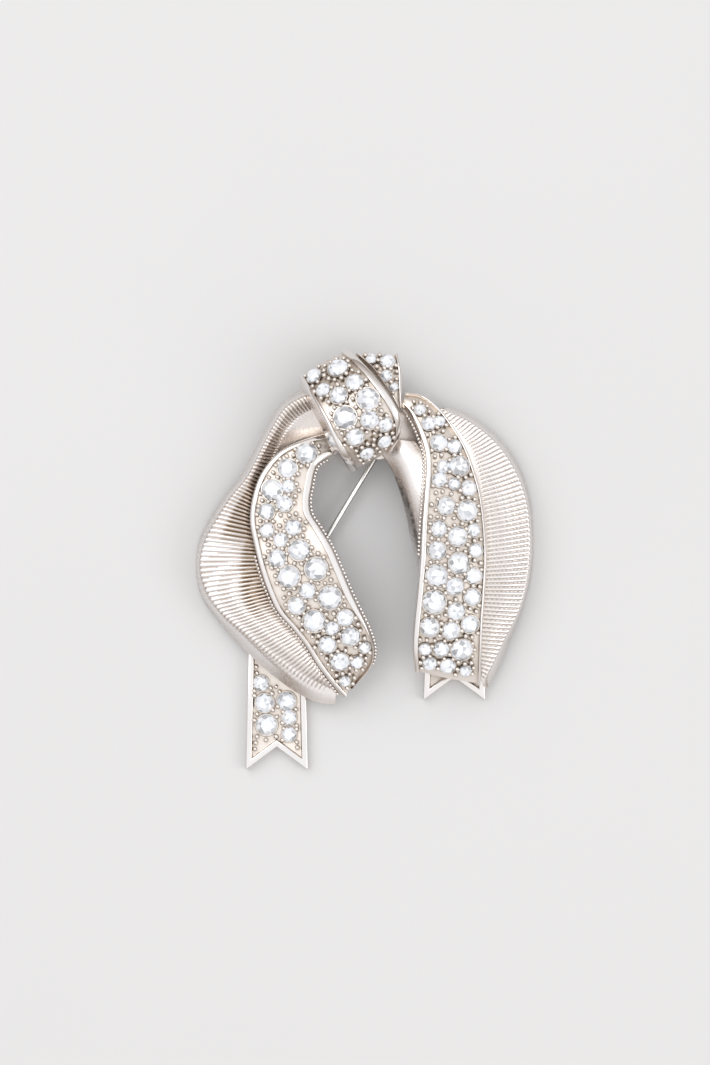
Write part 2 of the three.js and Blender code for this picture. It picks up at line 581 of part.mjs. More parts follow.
// Short posts behind the ribbons hold them to each other, to the tails and to the knot's plate.
function buildPosts() {
  const onTail = TAIL_THICKNESS - TAIL_RECESS + PIECE_GAP;
  const onPlate = KNOT_PLATE_BOTTOM + KNOT_PLATE_THICKNESS + PIECE_GAP;
  const posts = [
    ['left_tail_post', -12.7, -14.0, onTail, 3.75],
    ['right_tail_post', 12.6, -12.4, onTail, 6.2],
    ['left_loop_upper_post', -13.3, -2.9, 6.05, 7.3],
    ['left_loop_lower_post', -7.3, -12.2, 5.5, 5.88],
    ['left_loop_knot_post', -7.4, 22.2, onPlate, 5.5],
    ['left_band_post', -3.9, 17.1, onPlate, 5.35],
    ['right_band_post', 8.0, 19.6, onPlate, 6.2],
    ['upper_fold_post', 2.4, 26.9, onPlate, 6.1],
    ['knot_post', -0.6, 21.0, onPlate, 11.9],
  ];
  for (const [name, x, y, bottom, top] of posts) {
    const geometry = new THREE.CylinderGeometry(POST_RADIUS, POST_RADIUS, top - bottom, 12);
    geometry.rotateX(Math.PI / 2);
    add(name, geometry, rhodium()).position.set(x, y, (top + bottom) / 2);
  }
}

function buildKnotPlate() {
  const outline = [
    [-8.6, 22.4], [-7.2, 24.2], [-3.2, 28.0], [3.6, 28.4], [4.4, 23.6], [5.6, 21.4],
    [8.8, 20.9], [9.0, 18.6], [6.0, 15.2], [2.0, 14.6], [-3.0, 15.4], [-5.2, 17.6],
  ].map(([x, y]) => new THREE.Vector2(x, y));
  const plate = new THREE.ExtrudeGeometry(new THREE.Shape(outline), {
    depth: KNOT_PLATE_THICKNESS, bevelEnabled: false,
  });
  add('knot_plate', plate, rhodium()).position.z = KNOT_PLATE_BOTTOM;
}

// ---------------------------------------------------------------- pin and catch
// Their group's origin is on the hinge axis, its +X runs along the pin, its +Y is the hinge axis.

// A flat piece in the XZ plane, extruded along Y and centred on it.
function crossPlate(shape, thickness, segments) {
  const geometry = new THREE.ExtrudeGeometry(shape, {
    depth: thickness, bevelEnabled: false, curveSegments: segments,
  });
  geometry.translate(0, 0, -thickness / 2);
  geometry.rotateX(Math.PI / 2);
  return geometry;
}

function lineAlongY(profile, sides) {
  return new THREE.LatheGeometry(profile.map(([r, y]) => new THREE.Vector2(r, y)), sides);
}

function roundHole(radius) {
  const hole = new THREE.Path();
  hole.absarc(0, 0, radius, 0, 2 * Math.PI, true);
  return hole;
}

function buildHinge(fastening) {
  const inner = KNUCKLE_WIDTH / 2 + SIDE_CLEARANCE;
  const baseBottom = EAR_RADIUS - HINGE_BASE_THICKNESS + PIECE_GAP;
  const ear = new THREE.Shape();
  ear.absarc(0, 0, EAR_RADIUS, Math.PI, 2 * Math.PI, false);
  ear.lineTo(EAR_RADIUS, EAR_RADIUS);
  ear.lineTo(-EAR_RADIUS, EAR_RADIUS);
  ear.holes.push(roundHole(RIVET_HOLE));
  const earAt = (sign) => {
    const geometry = crossPlate(ear, EAR_THICKNESS, 18);
    geometry.translate(0, sign * (inner + EAR_THICKNESS / 2), 0);
    return toSolid(geometry);
  };
  const base = new THREE.BoxGeometry(2 * EAR_RADIUS, 2 * (inner + EAR_THICKNESS), HINGE_BASE_THICKNESS);
  base.translate(0, 0, baseBottom + HINGE_BASE_THICKNESS / 2);
  add('pin_joint', toGeometry(earAt(-1).add(earAt(1)).add(toSolid(base))), rhodium(), fastening);

  const reach = inner + EAR_THICKNESS + PIECE_GAP;
  const head = RIVET_HEAD_RADIUS;
  const headEnd = reach + RIVET_HEAD_HEIGHT;
  add('hinge_rivet', lineAlongY([
    [0, -headEnd], [head * 0.7, -headEnd], [head, -reach], [RIVET_RADIUS, -reach],
    [RIVET_RADIUS, reach], [head, reach], [head * 0.7, headEnd], [0, headEnd],
  ], 24), steel(), fastening);

  const knuckle = new THREE.Shape();
  knuckle.absarc(0, 0, KNUCKLE_RADIUS, 0, 2 * Math.PI, false);
  knuckle.holes.push(roundHole(RIVET_HOLE));
  add('pin_knuckle', crossPlate(knuckle, KNUCKLE_WIDTH, 18), steel(), fastening);

  const root = KNUCKLE_RADIUS + PIECE_GAP;
  const stem = lineAlongY([
    [0, root], [PIN_RADIUS, root], [PIN_RADIUS, PIN_LENGTH - PIN_TAPER],
    [PIN_RADIUS * TAPER_MIDDLE_RATIO, PIN_LENGTH - PIN_TAPER * TAPER_MIDDLE], [0, PIN_LENGTH],
  ], 12);
  stem.rotateZ(-Math.PI / 2);
  add('pin_stem', stem, steel(), fastening);
}

// A C-shaped ring about the X axis, open towards -Z by the width of its slot.
function slottedRing(outer, inner, slot, length) {
  const outerTurn = Math.asin(slot / 2 / outer);
  const innerTurn = Math.asin(slot / 2 / inner);
  const down = -Math.PI / 2;
  const ring = new THREE.Shape();
  ring.absarc(0, 0, outer, down + outerTurn, down - outerTurn + 2 * Math.PI, false);
  ring.absarc(0, 0, inner, down - innerTurn + 2 * Math.PI, down + innerTurn, true);
  ring.closePath();
  const geometry = new THREE.ExtrudeGeometry(ring, {
    depth: length, bevelEnabled: false, curveSegments: 26,
  });
  geometry.translate(0, 0, -length / 2);
  geometry.rotateX(Math.PI / 2);
  geometry.rotateZ(Math.PI / 2);
  return geometry;
}

function buildCatch(fastening) {
  const place = new THREE.Group();
  place.position.x = CATCH_DISTANCE;
  fastening.add(place);
  add('catch_housing', slottedRing(CATCH_RADIUS, CATCH_BORE, CATCH_SLOT, CATCH_LENGTH), rhodium(), place);

  const sleeve = slottedRing(SLEEVE_RADIUS, SLEEVE_BORE, SLEEVE_SLOT, SLEEVE_LENGTH);
  const tab = new THREE.BoxGeometry(TAB_WIDTH, TAB_REACH - TAB_ROOT, TAB_THICKNESS);
  tab.translate((SLEEVE_LENGTH - TAB_WIDTH) / 2, (TAB_REACH + TAB_ROOT) / 2, 0);
  const lever = toSolid(sleeve).add(toSolid(tab));
  add('catch_lever', toGeometry(lever), steel(), place);

  const plateMiddle = CATCH_RADIUS + PIECE_GAP + CATCH_PLATE_THICKNESS / 2;
  const plate = new THREE.BoxGeometry(CATCH_LENGTH, CATCH_PLATE_WIDTH, CATCH_PLATE_THICKNESS);
  plate.translate(0, 0, plateMiddle);
  const stud = new THREE.CylinderGeometry(STUD_RADIUS, STUD_RADIUS, STUD_HEIGHT, 20);
  stud.rotateX(Math.PI / 2);
  stud.translate(0, 0, plateMiddle + STUD_HEIGHT / 2);
  add('catch_plate', toGeometry(toSolid(plate).add(toSolid(stud))), rhodium(), place);
}

function buildFastening() {
  const fastening = new THREE.Group();
  fastening.position.set(...HINGE_PLACE, PIN_HEIGHT);
  fastening.rotation.z = PIN_ANGLE;
  brooch.add(fastening);
  buildHinge(fastening);
  buildCatch(fastening);
}

buildBands();
buildMilgrain();
buildSingleStones();
buildBandStones('left_band_crystals', leftBand, LEFT_BAND_STONES, 0.08, 0.97);
buildBandStones('right_band_crystals', rightBand, RIGHT_BAND_STONES, 0.03, 0.985);
buildSheets();
buildTail('left', -12.9, -30.8, 18.6, TAIL_STONES);
buildTail('right', 13.1, -20.6, 10.0, []);
buildPosts();
buildKnotPlate();
buildFastening();

export default brooch;
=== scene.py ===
"""The finished look of a ribbon-bow brooch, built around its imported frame.

Lengths in this file are millimetres until a mesh is made, because a jeweller measures in them.
MM turns them into metres.
"""

import json
import math
import random

import bpy
import numpy as np
from bpy.props import FloatProperty, FloatVectorProperty, IntProperty, PointerProperty
from bpy.types import Operator, Panel, PropertyGroup
from mathutils import Matrix, Vector


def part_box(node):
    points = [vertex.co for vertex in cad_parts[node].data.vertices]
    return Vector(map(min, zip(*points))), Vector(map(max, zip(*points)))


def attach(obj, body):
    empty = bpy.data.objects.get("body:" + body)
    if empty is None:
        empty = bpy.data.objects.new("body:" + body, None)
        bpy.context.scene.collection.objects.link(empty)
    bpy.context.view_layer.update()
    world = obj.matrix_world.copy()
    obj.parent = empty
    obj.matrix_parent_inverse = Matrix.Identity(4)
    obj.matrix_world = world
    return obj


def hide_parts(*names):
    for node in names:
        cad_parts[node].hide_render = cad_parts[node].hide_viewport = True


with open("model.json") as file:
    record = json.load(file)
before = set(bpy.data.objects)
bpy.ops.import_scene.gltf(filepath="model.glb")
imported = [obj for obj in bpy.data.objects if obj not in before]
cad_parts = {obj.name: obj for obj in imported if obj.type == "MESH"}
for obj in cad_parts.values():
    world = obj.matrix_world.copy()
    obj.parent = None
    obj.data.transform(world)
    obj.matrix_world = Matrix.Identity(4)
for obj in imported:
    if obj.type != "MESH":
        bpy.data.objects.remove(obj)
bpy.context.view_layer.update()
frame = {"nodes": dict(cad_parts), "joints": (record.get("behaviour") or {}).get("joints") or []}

bl_info = {
    "name": "Ribbon-bow brooch",
    "version": (1, 0, 0),
    "blender": (4, 5, 0),
    "location": "View3D > Sidebar > Brooch",
    "description": "Makes the metal, cut stones, beads, pin and catch of a ribbon-bow brooch",
    "category": "Add Mesh",
}

MM = 0.001

# The ribbons' edges, from the knot outwards: [left edge, right edge].
KNOT_ROWS = [
    [[-9.4, 26.5, 7.4], [-2.5, 30.5, 7.6]],
    [[-8.0, 24.0, 10.4], [-0.8, 28.9, 9.9]],
    [[-6.6, 21.6, 12.2], [1.2, 26.6, 11.7]],
    [[-5.4, 19.4, 13.0], [3.0, 24.2, 12.8]],
    [[-4.4, 17.2, 13.0], [4.4, 22.0, 12.8]],
    [[-3.5, 15.2, 12.0], [5.2, 19.9, 11.8]],
    [[-2.8, 13.8, 10.4], [5.0, 17.8, 10.2]],
    [[-2.2, 12.7, 8.4], [4.0, 15.9, 8.4]],
]
FOLD_ROWS = [
    [[-1.3, 30.0, 6.6], [4.8, 29.9, 6.0]],
    [[0.7, 28.2, 7.4], [5.2, 27.8, 7.0]],
    [[2.3, 26.1, 7.8], [5.3, 25.6, 7.3]],
    [[3.7, 24.0, 7.6], [5.3, 23.6, 7.2]],
    [[4.7, 22.3, 7.0], [5.3, 22.0, 6.8]],
]
LEFT_BAND_ROWS = [
    [[-3.4, 18.6, 6.7], [-3.2, 15.8, 7.0]],
    [[-6.2, 18.2, 7.0], [-5.4, 14.8, 7.3]],
    [[-9.5, 17.2, 7.5], [-6.8, 13.9, 7.7]],
    [[-12.6, 15.5, 7.8], [-7.4, 12.6, 8.1]],
    [[-15.0, 12.5, 8.0], [-7.8, 10.6, 8.4]],
    [[-16.2, 9.2, 8.2], [-8.1, 8.8, 8.6]],
    [[-16.6, 5.8, 8.4], [-7.9, 6.8, 8.8]],
    [[-16.0, 2.4, 8.6], [-6.6, 4.7, 9.0]],
    [[-15.1, -1.2, 8.8], [-5.0, 2.0, 9.4]],
    [[-14.0, -4.4, 8.8], [-3.5, -1.4, 9.6]],
    [[-12.6, -7.4, 8.6], [-2.0, -4.9, 9.6]],
    [[-10.4, -10.0, 8.2], [-0.6, -7.8, 9.4]],
    [[-8.6, -12.4, 7.6], [0.5, -10.2, 8.8]],
    [[-6.9, -15.2, 6.9], [1.25, -12.8, 7.6]],
    [[-5.0, -17.8, 6.0], [0.9, -15.4, 6.2]],
    [[-3.2, -20.0, 5.0], [-1.8, -18.6, 5.0]],
]
RIGHT_BAND_ROWS = [
    [[5.3, 22.1, 6.4], [5.9, 24.4, 5.6]],
    [[6.1, 21.4, 7.0], [8.2, 24.0, 6.0]],
    [[6.9, 20.2, 7.7], [10.5, 22.3, 6.6]],
    [[8.0, 17.8, 8.4], [12.7, 19.5, 7.3]],
    [[8.65, 15.6, 9.0], [14.6, 16.2, 7.9]],
    [[8.8, 13.4, 9.4], [15.7, 13.2, 8.4]],
    [[8.55, 9.6, 9.8], [16.7, 9.6, 8.8]],
    [[8.2, 5.0, 10.0], [17.3, 5.0, 9.0]],
    [[8.0, 0.5, 10.0], [17.5, 0.5, 9.0]],
    [[7.6, -4.5, 9.8], [17.3, -4.0, 8.8]],
    [[7.15, -9.0, 9.2], [17.0, -9.0, 8.2]],
    [[6.95, -13.0, 8.0], [16.9, -13.5, 7.0]],
    [[7.2, -16.2, 6.2], [16.8, -18.2, 5.0]],
]

# The loops: [inner edge, crest, foot of the turned-down wall].
LEFT_LOOP_ROWS = [
    [[-4.9, 19.2, 6.6], [-7.6, 24.2, 8.3], [-8.5, 25.2, 5.2]],
    [[-6.6, 17.6, 5.3], [-11.3, 22.3, 7.9], [-12.1, 23.0, 4.3]],
    [[-9.6, 16.6, 5.1], [-13.6, 18.9, 7.4], [-14.4, 19.5, 3.6]],
    [[-12.6, 14.8, 5.4], [-15.5, 15.2, 7.0], [-16.4, 15.6, 3.0]],
    [[-14.6, 11.0, 5.4], [-17.2, 12.0, 6.6], [-18.2, 12.4, 2.4]],
    [[-15.8, 7.6, 5.4], [-19.6, 9.2, 6.2], [-20.5, 9.4, 1.6]],
    [[-16.0, 4.6, 5.4], [-21.9, 5.8, 5.8], [-22.8, 5.9, 0.8]],
    [[-15.0, 1.8, 5.6], [-23.6, 2.7, 5.6], [-24.3, 2.7, 0.3]],
    [[-13.8, -0.5, 5.8], [-24.3, -0.7, 5.4], [-24.8, -0.7, 0.12]],
    [[-12.6, -2.8, 5.9], [-23.5, -4.4, 5.4], [-24.2, -4.9, 0.3]],
    [[-11.8, -5.3, 5.9], [-21.2, -7.8, 5.4], [-21.8, -8.6, 0.8]],
    [[-10.2, -7.8, 5.8], [-18.0, -10.6, 5.2], [-18.8, -11.9, 1.8]],
    [[-8.4, -9.9, 5.6], [-15.0, -13.2, 5.0], [-15.9, -14.8, 2.6]],
    [[-6.8, -12.2, 5.2], [-12.0, -15.5, 4.8], [-12.8, -17.4, 2.9]],
    [[-5.6, -14.6, 4.6], [-9.2, -17.5, 4.4], [-9.6, -19.6, 2.9]],
    [[-5.0, -17.4, 4.0], [-6.8, -18.7, 3.9], [-6.6, -20.9, 2.8]],
    [[-3.8, -19.0, 3.6], [-4.4, -19.8, 3.5], [-4.2, -21.1, 2.8]],
]
RIGHT_LOOP_ROWS = [
    [[9.6, 22.3, 4.8], [11.6, 21.9, 4.9], [12.4, 22.4, 3.6]],
    [[12.0, 19.6, 5.5], [14.6, 20.5, 5.4], [15.4, 21.1, 3.0]],
    [[13.6, 17.2, 6.0], [17.2, 18.8, 5.6], [18.1, 19.2, 2.4]],
    [[14.7, 15.0, 6.3], [19.6, 16.5, 5.7], [20.5, 16.8, 1.8]],
    [[15.5, 12.6, 6.6], [21.4, 13.9, 5.7], [22.3, 14.2, 1.2]],
    [[16.2, 10.0, 6.8], [22.8, 11.0, 5.7], [23.6, 11.2, 0.7]],
    [[16.7, 7.0, 7.0], [23.7, 7.6, 5.7], [24.4, 7.7, 0.35]],
    [[16.9, 4.0, 7.0], [24.05, 4.2, 5.7], [24.7, 4.3, 0.14]],
    [[17.0, 1.0, 7.0], [24.05, 0.8, 5.7], [24.7, 0.8, 0.14]],
    [[16.9, -2.0, 6.9], [23.7, -2.6, 5.6], [24.3, -2.8, 0.3]],
    [[16.8, -5.0, 6.7], [22.9, -6.0, 5.4], [23.4, -6.4, 0.6]],
    [[16.7, -8.0, 6.3], [21.7, -9.0, 5.0], [22.3, -9.5, 1.1]],
    [[16.6, -11.0, 5.6], [20.3, -11.7, 4.6], [21.0, -12.4, 1.6]],
    [[16.6, -13.8, 4.6], [19.0, -14.4, 4.2], [19.7, -15.2, 2.2]],
    [[16.8, -16.0, 3.8], [17.9, -16.6, 3.7], [18.5, -17.5, 2.4]],
    [[16.9, -17.6, 3.0], [17.3, -18.0, 3.0], [17.8, -18.8, 2.4]],
]

# The smooth inner fold: [free edge, middle, edge under the right band].
INNER_FOLD_ROWS = [
    [[1.6, 16.4, 5.3], [4.6, 17.4, 6.6], [7.4, 17.2, 6.4]],
    [[2.6, 15.0, 5.2], [5.4, 14.9, 6.8], [8.7, 14.6, 7.0]],
    [[3.9, 12.9, 5.2], [6.1, 12.4, 6.8], [8.8, 12.0, 7.4]],
    [[4.9, 10.2, 5.2], [6.6, 9.6, 6.8], [8.7, 9.2, 7.8]],
    [[5.8, 7.0, 5.3], [7.1, 6.4, 6.9], [8.5, 6.2, 8.0]],
    [[6.5, 3.5, 5.5], [7.4, 3.2, 6.9], [8.4, 3.2, 8.0]],
    [[7.2, 0.2, 5.8], [7.7, 0.2, 6.9], [8.2, 0.4, 7.8]],
    [[7.6, -2.0, 6.2], [7.8, -2.0, 6.9], [8.1, -1.8, 7.6]],
]

# Stones by their place in plan and their diameter: [x, y, diameter].
KNOT_STONES = [
    [-7.5, 26.7, 2.2], [-4.0, 27.8, 2.8], [-6.1, 24.5, 2.0], [-3.9, 23.7, 2.4],
    [-1.6, 25.6, 2.4], [0.4, 23.1, 3.0], [-2.9, 20.4, 3.0], [0.7, 20.0, 2.4],
    [3.0, 19.3, 2.0], [-1.4, 17.5, 2.4], [0.3, 15.2, 2.0], [2.9, 16.9, 2.0],
]
FOLD_STONES = [[0.9, 29.3, 1.5], [3.3, 28.9, 2.1], [3.1, 26.7, 1.6], [4.2, 25.0, 1.2]]
LEFT_BAND_STONES = [
    [-8.4, 15.6, 2.8], [-11.2, 13.3, 2.6], [-13.4, 10.2, 2.8], [-11.0, 10.7, 1.8],
    [-11.6, 8.2, 2.2], [-14.2, 7.1, 2.2], [-14.2, 4.4, 2.0], [-10.3, 4.8, 2.2],
    [-12.2, 3.0, 2.0], [-9.5, 1.6, 2.8], [-12.7, 0.4, 2.4], [-7.0, -1.2, 3.0],
    [-11.0, -2.4, 3.0], [-8.3, -4.3, 2.2], [-5.0, -5.4, 3.1], [-9.9, -6.6, 2.4],
    [-2.8, -8.3, 2.3], [-7.3, -8.8, 3.0], [-4.7, -9.9, 1.9], [-2.0, -11.2, 2.6],
    [-5.4, -12.4, 2.4], [0.0, -12.7, 1.6], [-3.6, -14.8, 2.6], [-1.1, -14.9, 1.8],
    [-2.9, -17.7, 1.6],
]
RIGHT_BAND_STONES = [
    [7.8, 21.8, 1.6], [9.0, 19.7, 1.9], [10.8, 20.2, 1.6], [10.6, 17.0, 2.3],
    [12.9, 16.4, 2.0], [13.6, 13.6, 2.7], [11.2, 13.6, 1.8], [10.7, 11.6, 2.0],
    [12.8, 11.1, 1.6], [15.0, 10.4, 2.1], [11.6, 7.9, 2.4], [14.7, 7.2, 2.8],
    [10.6, 4.6, 2.2], [15.7, 4.4, 1.8], [13.3, 3.4, 2.6], [10.3, 1.3, 2.4],
    [16.0, 1.4, 1.9], [13.5, -0.4, 2.8], [10.3, -2.1, 2.9], [15.7, -2.2, 2.2],
    [12.9, -3.9, 2.4], [15.5, -5.3, 2.3], [9.8, -6.1, 3.1], [13.1, -7.5, 2.4],
    [15.2, -9.2, 2.4], [9.3, -9.8, 2.6], [12.4, -10.3, 2.4], [8.5, -13.0, 1.7],
    [11.0, -12.9, 2.1], [14.0, -13.1, 3.0], [9.3, -15.1, 2.0], [11.9, -15.4, 2.2],
    [14.6, -16.1, 1.7],
]
# The tail's stones by their place from the middle of its tips, and its beads.
TAIL_STONES = [
    [-2.3, 12.7, 2.1], [-1.8, 9.8, 2.5], [1.4, 10.1, 2.5], [-1.5, 6.6, 2.8], [1.8, 7.7, 2.0],
    [1.8, 5.2, 2.0],
]
TAIL_BEADS = [
    [-3.0, 15.1], [-2.9, 14.2], [-3.3, 11.6], [-3.3, 10.9], [-0.1, 12.2], [-0.9, 12.0],
    [-0.7, 11.2], [0.4, 11.5], [0.1, 9.3], [-0.6, 8.8], [-2.9, 8.2], [0.0, 7.8], [-3.3, 7.3],
    [0.9, 8.5], [0.8, 6.9], [2.8, 8.9], [2.9, 6.5], [1.0, 6.1], [2.9, 6.0], [-0.1, 4.9],
    [0.8, 4.4], [-2.9, 4.9], [-1.6, 4.4], [-3.1, 4.0], [-3.2, 3.1], [2.9, 4.1], [3.0, 3.3],
]

# ---------------------------------------------------------------- curves and ribbons


def spline(points, share):
    """A point of the smooth curve through points, at share 0 to 1 of the way along them."""
    place = share * (len(points) - 1)
    first = min(int(place), len(points) - 2)
    weight = place - first
    p1, p2 = points[first], points[first + 1]
    p0 = points[first - 1] if first > 0 else p1 * 2 - p2
    p3 = points[first + 2] if first + 2 < len(points) else p2 * 2 - p1
    gaps = [max(math.sqrt((b - a).length), 1e-4) for a, b in ((p0, p1), (p1, p2), (p2, p3))]
    d0, d1, d2 = gaps
    t1 = ((p1 - p0) / d0 - (p2 - p0) / (d0 + d1) + (p2 - p1) / d1) * d1
    t2 = ((p2 - p1) / d1 - (p3 - p1) / (d1 + d2) + (p3 - p2) / d2) * d1
    c2 = (p2 - p1) * 3 - t1 * 2 - t2
    c3 = (p1 - p2) * 2 + t1 + t2
    return p1 + t1 * weight + c2 * weight**2 + c3 * weight**3


def column(rows, side):
    """One edge of a ribbon as a list of vectors."""
    return [Vector(row[side]) for row in rows]


class Ribbon:
    """A ribbon between two edges, bulging by its camber in the middle.

    Its rims keep the share rims(along) of their width, on the left and on the right, and its
    walls lean outwards by flare.
    """

    def __init__(self, rows, camber, rims, flare=(0.0, 0.0)):
        self.left = column(rows, 0)
        self.right = column(rows, 1)
        self.camber = camber
        self.rims = rims
        self.flare = flare

    def middle(self, along):
        along = min(max(along, 0.0), 1.0)
        return (spline(self.left, along) + spline(self.right, along)) / 2

    def cross(self, along):
        """The left edge's point, the direction across, the outward normal and the width."""
        left = spline(self.left, along)
        across = spline(self.right, along) - left
        forward = self.middle(along + 0.005) - self.middle(along - 0.005)
        normal = forward.cross(across).normalized()
        if normal.z < 0:
            normal.negate()
        return left, across.normalized(), normal, across.length

    def point(self, cross, offset, height):
        """The point that lies offset across and height above the cambered face."""
        left, across, normal, width = cross
        share = min(max(offset / width, 0.0), 1.0)
        rise = height + self.camber * 4 * share * (1 - share)
        return left + across * offset + normal * rise

    def length(self):
        steps = 60
        places = [self.middle(step / steps) for step in range(steps + 1)]
        return sum((b - a).length for a, b in zip(places, places[1:]))

    def facing(self, cross, offset):
        """The outward normal at an offset, tilted by the camber."""
        _, across, normal, width = cross
        slope = self.camber * 4 * (1 - 2 * offset / width) / width
        return (normal - across * slope).normalized()

    def seat(self, x, y, margin, rim):
        """Where a stone at a place in plan sits, and which way it faces."""
        best = None
        for step in range(241):
            cross = self.cross(step / 240)
            left, across, _, width = cross
            flat = across.x**2 + across.y**2
            offset = ((x - left.x) * across.x + (y - left.y) * across.y) / flat
            left_rim, right_rim = (share * rim for share in self.rims(step / 240))
            low = min(left_rim + margin, width / 2)
            high = max(width - right_rim - margin, width / 2)
            offset = min(max(offset, low), high)
            place = self.point(cross, offset, 0)
            miss = math.hypot(place.x - x, place.y - y)
            if best is None or miss < best[0]:
                best = (miss, place, self.facing(cross, offset))
        return best[1:]


def ramp_up(value, low, high):
    """0 below low, 1 above high and smooth between."""
    part = min(max((value - low) / (high - low), 0.0), 1.0)
    return part * part * (3 - 2 * part)


def left_band_rims(along):
    """The right rim of the left band runs out under the beads of its curled end."""
    return 1.0, 1.25 - 0.95 * ramp_up(along, 0.66, 0.84)


def right_band_rims(along):
    return 1.0, 0.55


def knot_rims(along):
    """The knot's left rim widens where the ribbon curls under."""
    return 0.7 + 0.8 * ramp_up(along, 0.45, 0.85), 1.35


def fold_rims(along):
    return 0.45, 0.6


KNOT = Ribbon(KNOT_ROWS, 0.6, knot_rims, (0.9, 0.1))
FOLD = Ribbon(FOLD_ROWS, 0.2, fold_rims, (0.0, 0.35))
LEFT_BAND = Ribbon(LEFT_BAND_ROWS, 0.5, left_band_rims)
RIGHT_BAND = Ribbon(RIGHT_BAND_ROWS, 0.5, right_band_rims)

# ---------------------------------------------------------------- meshes


def deselect():
    bpy.ops.object.select_all(action="DESELECT")


def pick(piece):
    """Selects one piece alone and makes it the active one."""
    deselect()
    bpy.context.view_layer.objects.active = piece
    piece.select_set(True)


def named(name):
    """Gives the piece that was just made its name."""
    piece = bpy.context.object
    piece.name = name
    piece.data.name = name
    return piece


def edit(piece):
    """Opens a piece in edit mode with everything selected."""
    pick(piece)
    bpy.ops.object.mode_set(mode="EDIT")
    bpy.ops.mesh.select_all(action="SELECT")


def done():
    bpy.ops.object.mode_set(mode="OBJECT")


def settle(piece):
    """Puts a piece's place, turn and size into its mesh."""
    pick(piece)
    bpy.ops.object.transform_apply(location=True, rotation=True, scale=True)


def smooth(piece, degrees=40):
    pick(piece)
    bpy.ops.object.shade_smooth_by_angle(angle=math.radians(degrees))


def apply_modifier(piece, kind, **settings):
    modifier = piece.modifiers.new(kind.title(), kind)
    for key, value in settings.items():
        setattr(modifier, key, value)
    pick(piece)
    bpy.ops.object.modifier_apply(modifier=modifier.name)


def ease(piece, width, segments, degrees):
    """Bevels the edges that are sharper than an angle."""
    apply_modifier(
        piece, "BEVEL", width=width * MM, segments=segments,
        limit_method="ANGLE", angle_limit=math.radians(degrees),
    )


def thicken(piece, thickness):
    """Gives a sheet its wall, on the side away from its front, which is turned up first."""
    if sum(face.normal.z for face in piece.data.polygons) < 0:
        edit(piece)
        bpy.ops.mesh.flip_normals()
        done()
    apply_modifier(piece, "SOLIDIFY", thickness=thickness * MM, offset=-1, use_rim=True)


def finish_piece(piece, body, slot, *nodes):
    """Fastens a finished piece to its body and lets it stand for its solids."""
    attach(piece, body)
    if nodes:
        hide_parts(*nodes)


def coat(piece, *names):
    """Gives a piece the finishes with these names."""
    piece.data.materials.clear()
    for name in names:
        piece.data.materials.append(bpy.data.materials[name])


def plane_grid(name, rows, columns, place):
    """A grid of rows by columns faces, each corner put at place(row, column)."""
    deselect()
    bpy.ops.mesh.primitive_grid_add(x_subdivisions=rows, y_subdivisions=columns, size=1)
    piece = named(name)
    for corner in piece.data.vertices:
        row = round((corner.co.x + 0.5) * rows)
        step = round((corner.co.y + 0.5) * columns)
        corner.co = place(row, step) * MM
    return piece


def swept(name, sections):
    """A solid through closed sections of equal count, capped at both ends."""
    rows, columns = len(sections) - 1, len(sections[0])
    piece = plane_grid(name, rows, columns, lambda row, step: sections[row][step % columns])
    edit(piece)
    bpy.ops.mesh.remove_doubles(threshold=0.0002 * MM)
    bpy.ops.mesh.fill_holes(sides=0)
    bpy.ops.mesh.normals_make_consistent(inside=False)
    done()
    return piece


def rounded(corners, steps=3):
    """A closed outline whose corners, each (x, y, radius), are turned into arcs."""
    outline = []
    for index, (x, y, radius) in enumerate(corners):
        here = Vector((x, y))
        if radius == 0:
            outline.append(here)
            continue
        before = Vector(corners[index - 1][:2])
        after = Vector(corners[(index + 1) % len(corners)][:2])
        start = here + (before - here).normalized() * radius
        end = here + (after - here).normalized() * radius
        for step in range(steps + 1):
            t = step / steps
            outline.append(start * (1 - t) ** 2 + here * 2 * t * (1 - t) + end * t**2)
    return outline


def repeated(name, pattern, places, tones=None):
    """Copies of one pattern mesh in one piece: places are matrices in millimetres."""
    corners = np.array([corner.co[:] for corner in pattern.vertices])
    faces = [list(face.vertices) for face in pattern.polygons]
    count = len(corners)
    all_corners = []
    all_faces = []
    for index, matrix in enumerate(places):
        turn = np.array(matrix.to_3x3())
        all_corners.append(corners @ turn.T + np.array(matrix.translation))
        all_faces.extend([corner + index * count for corner in face] for face in faces)
    mesh = bpy.data.meshes.new(name)
    mesh.from_pydata((np.concatenate(all_corners) * MM).tolist(), [], all_faces)
    if tones:
        paint_faces(mesh, tones)
    mesh.update()
    piece = bpy.data.objects.new(name, mesh)
    bpy.context.scene.collection.objects.link(piece)
    return piece


def paint_faces(mesh, tone_of):
    """Gives every face its own grey, a painted reflection, in the attribute that the stones'
    material reads.
    """
    attribute = mesh.color_attributes.new(name="facet", type="FLOAT_COLOR", domain="CORNER")
    for face in mesh.polygons:
        grey = tone_of(face)
        for corner in face.loop_indices:
            attribute.data[corner].color = (*grey, 1.0)


def standing(place, normal, size, spin=0.0):
    """The matrix that sets a pattern on a surface: its +Z along the normal, scaled to size."""
    turn = Vector((0, 0, 1)).rotation_difference(normal).to_matrix().to_4x4()
    return Matrix.Translation(place) @ turn @ Matrix.Rotation(spin, 4, "Z") @ Matrix.Scale(size, 4)


# ---------------------------------------------------------------- finishes


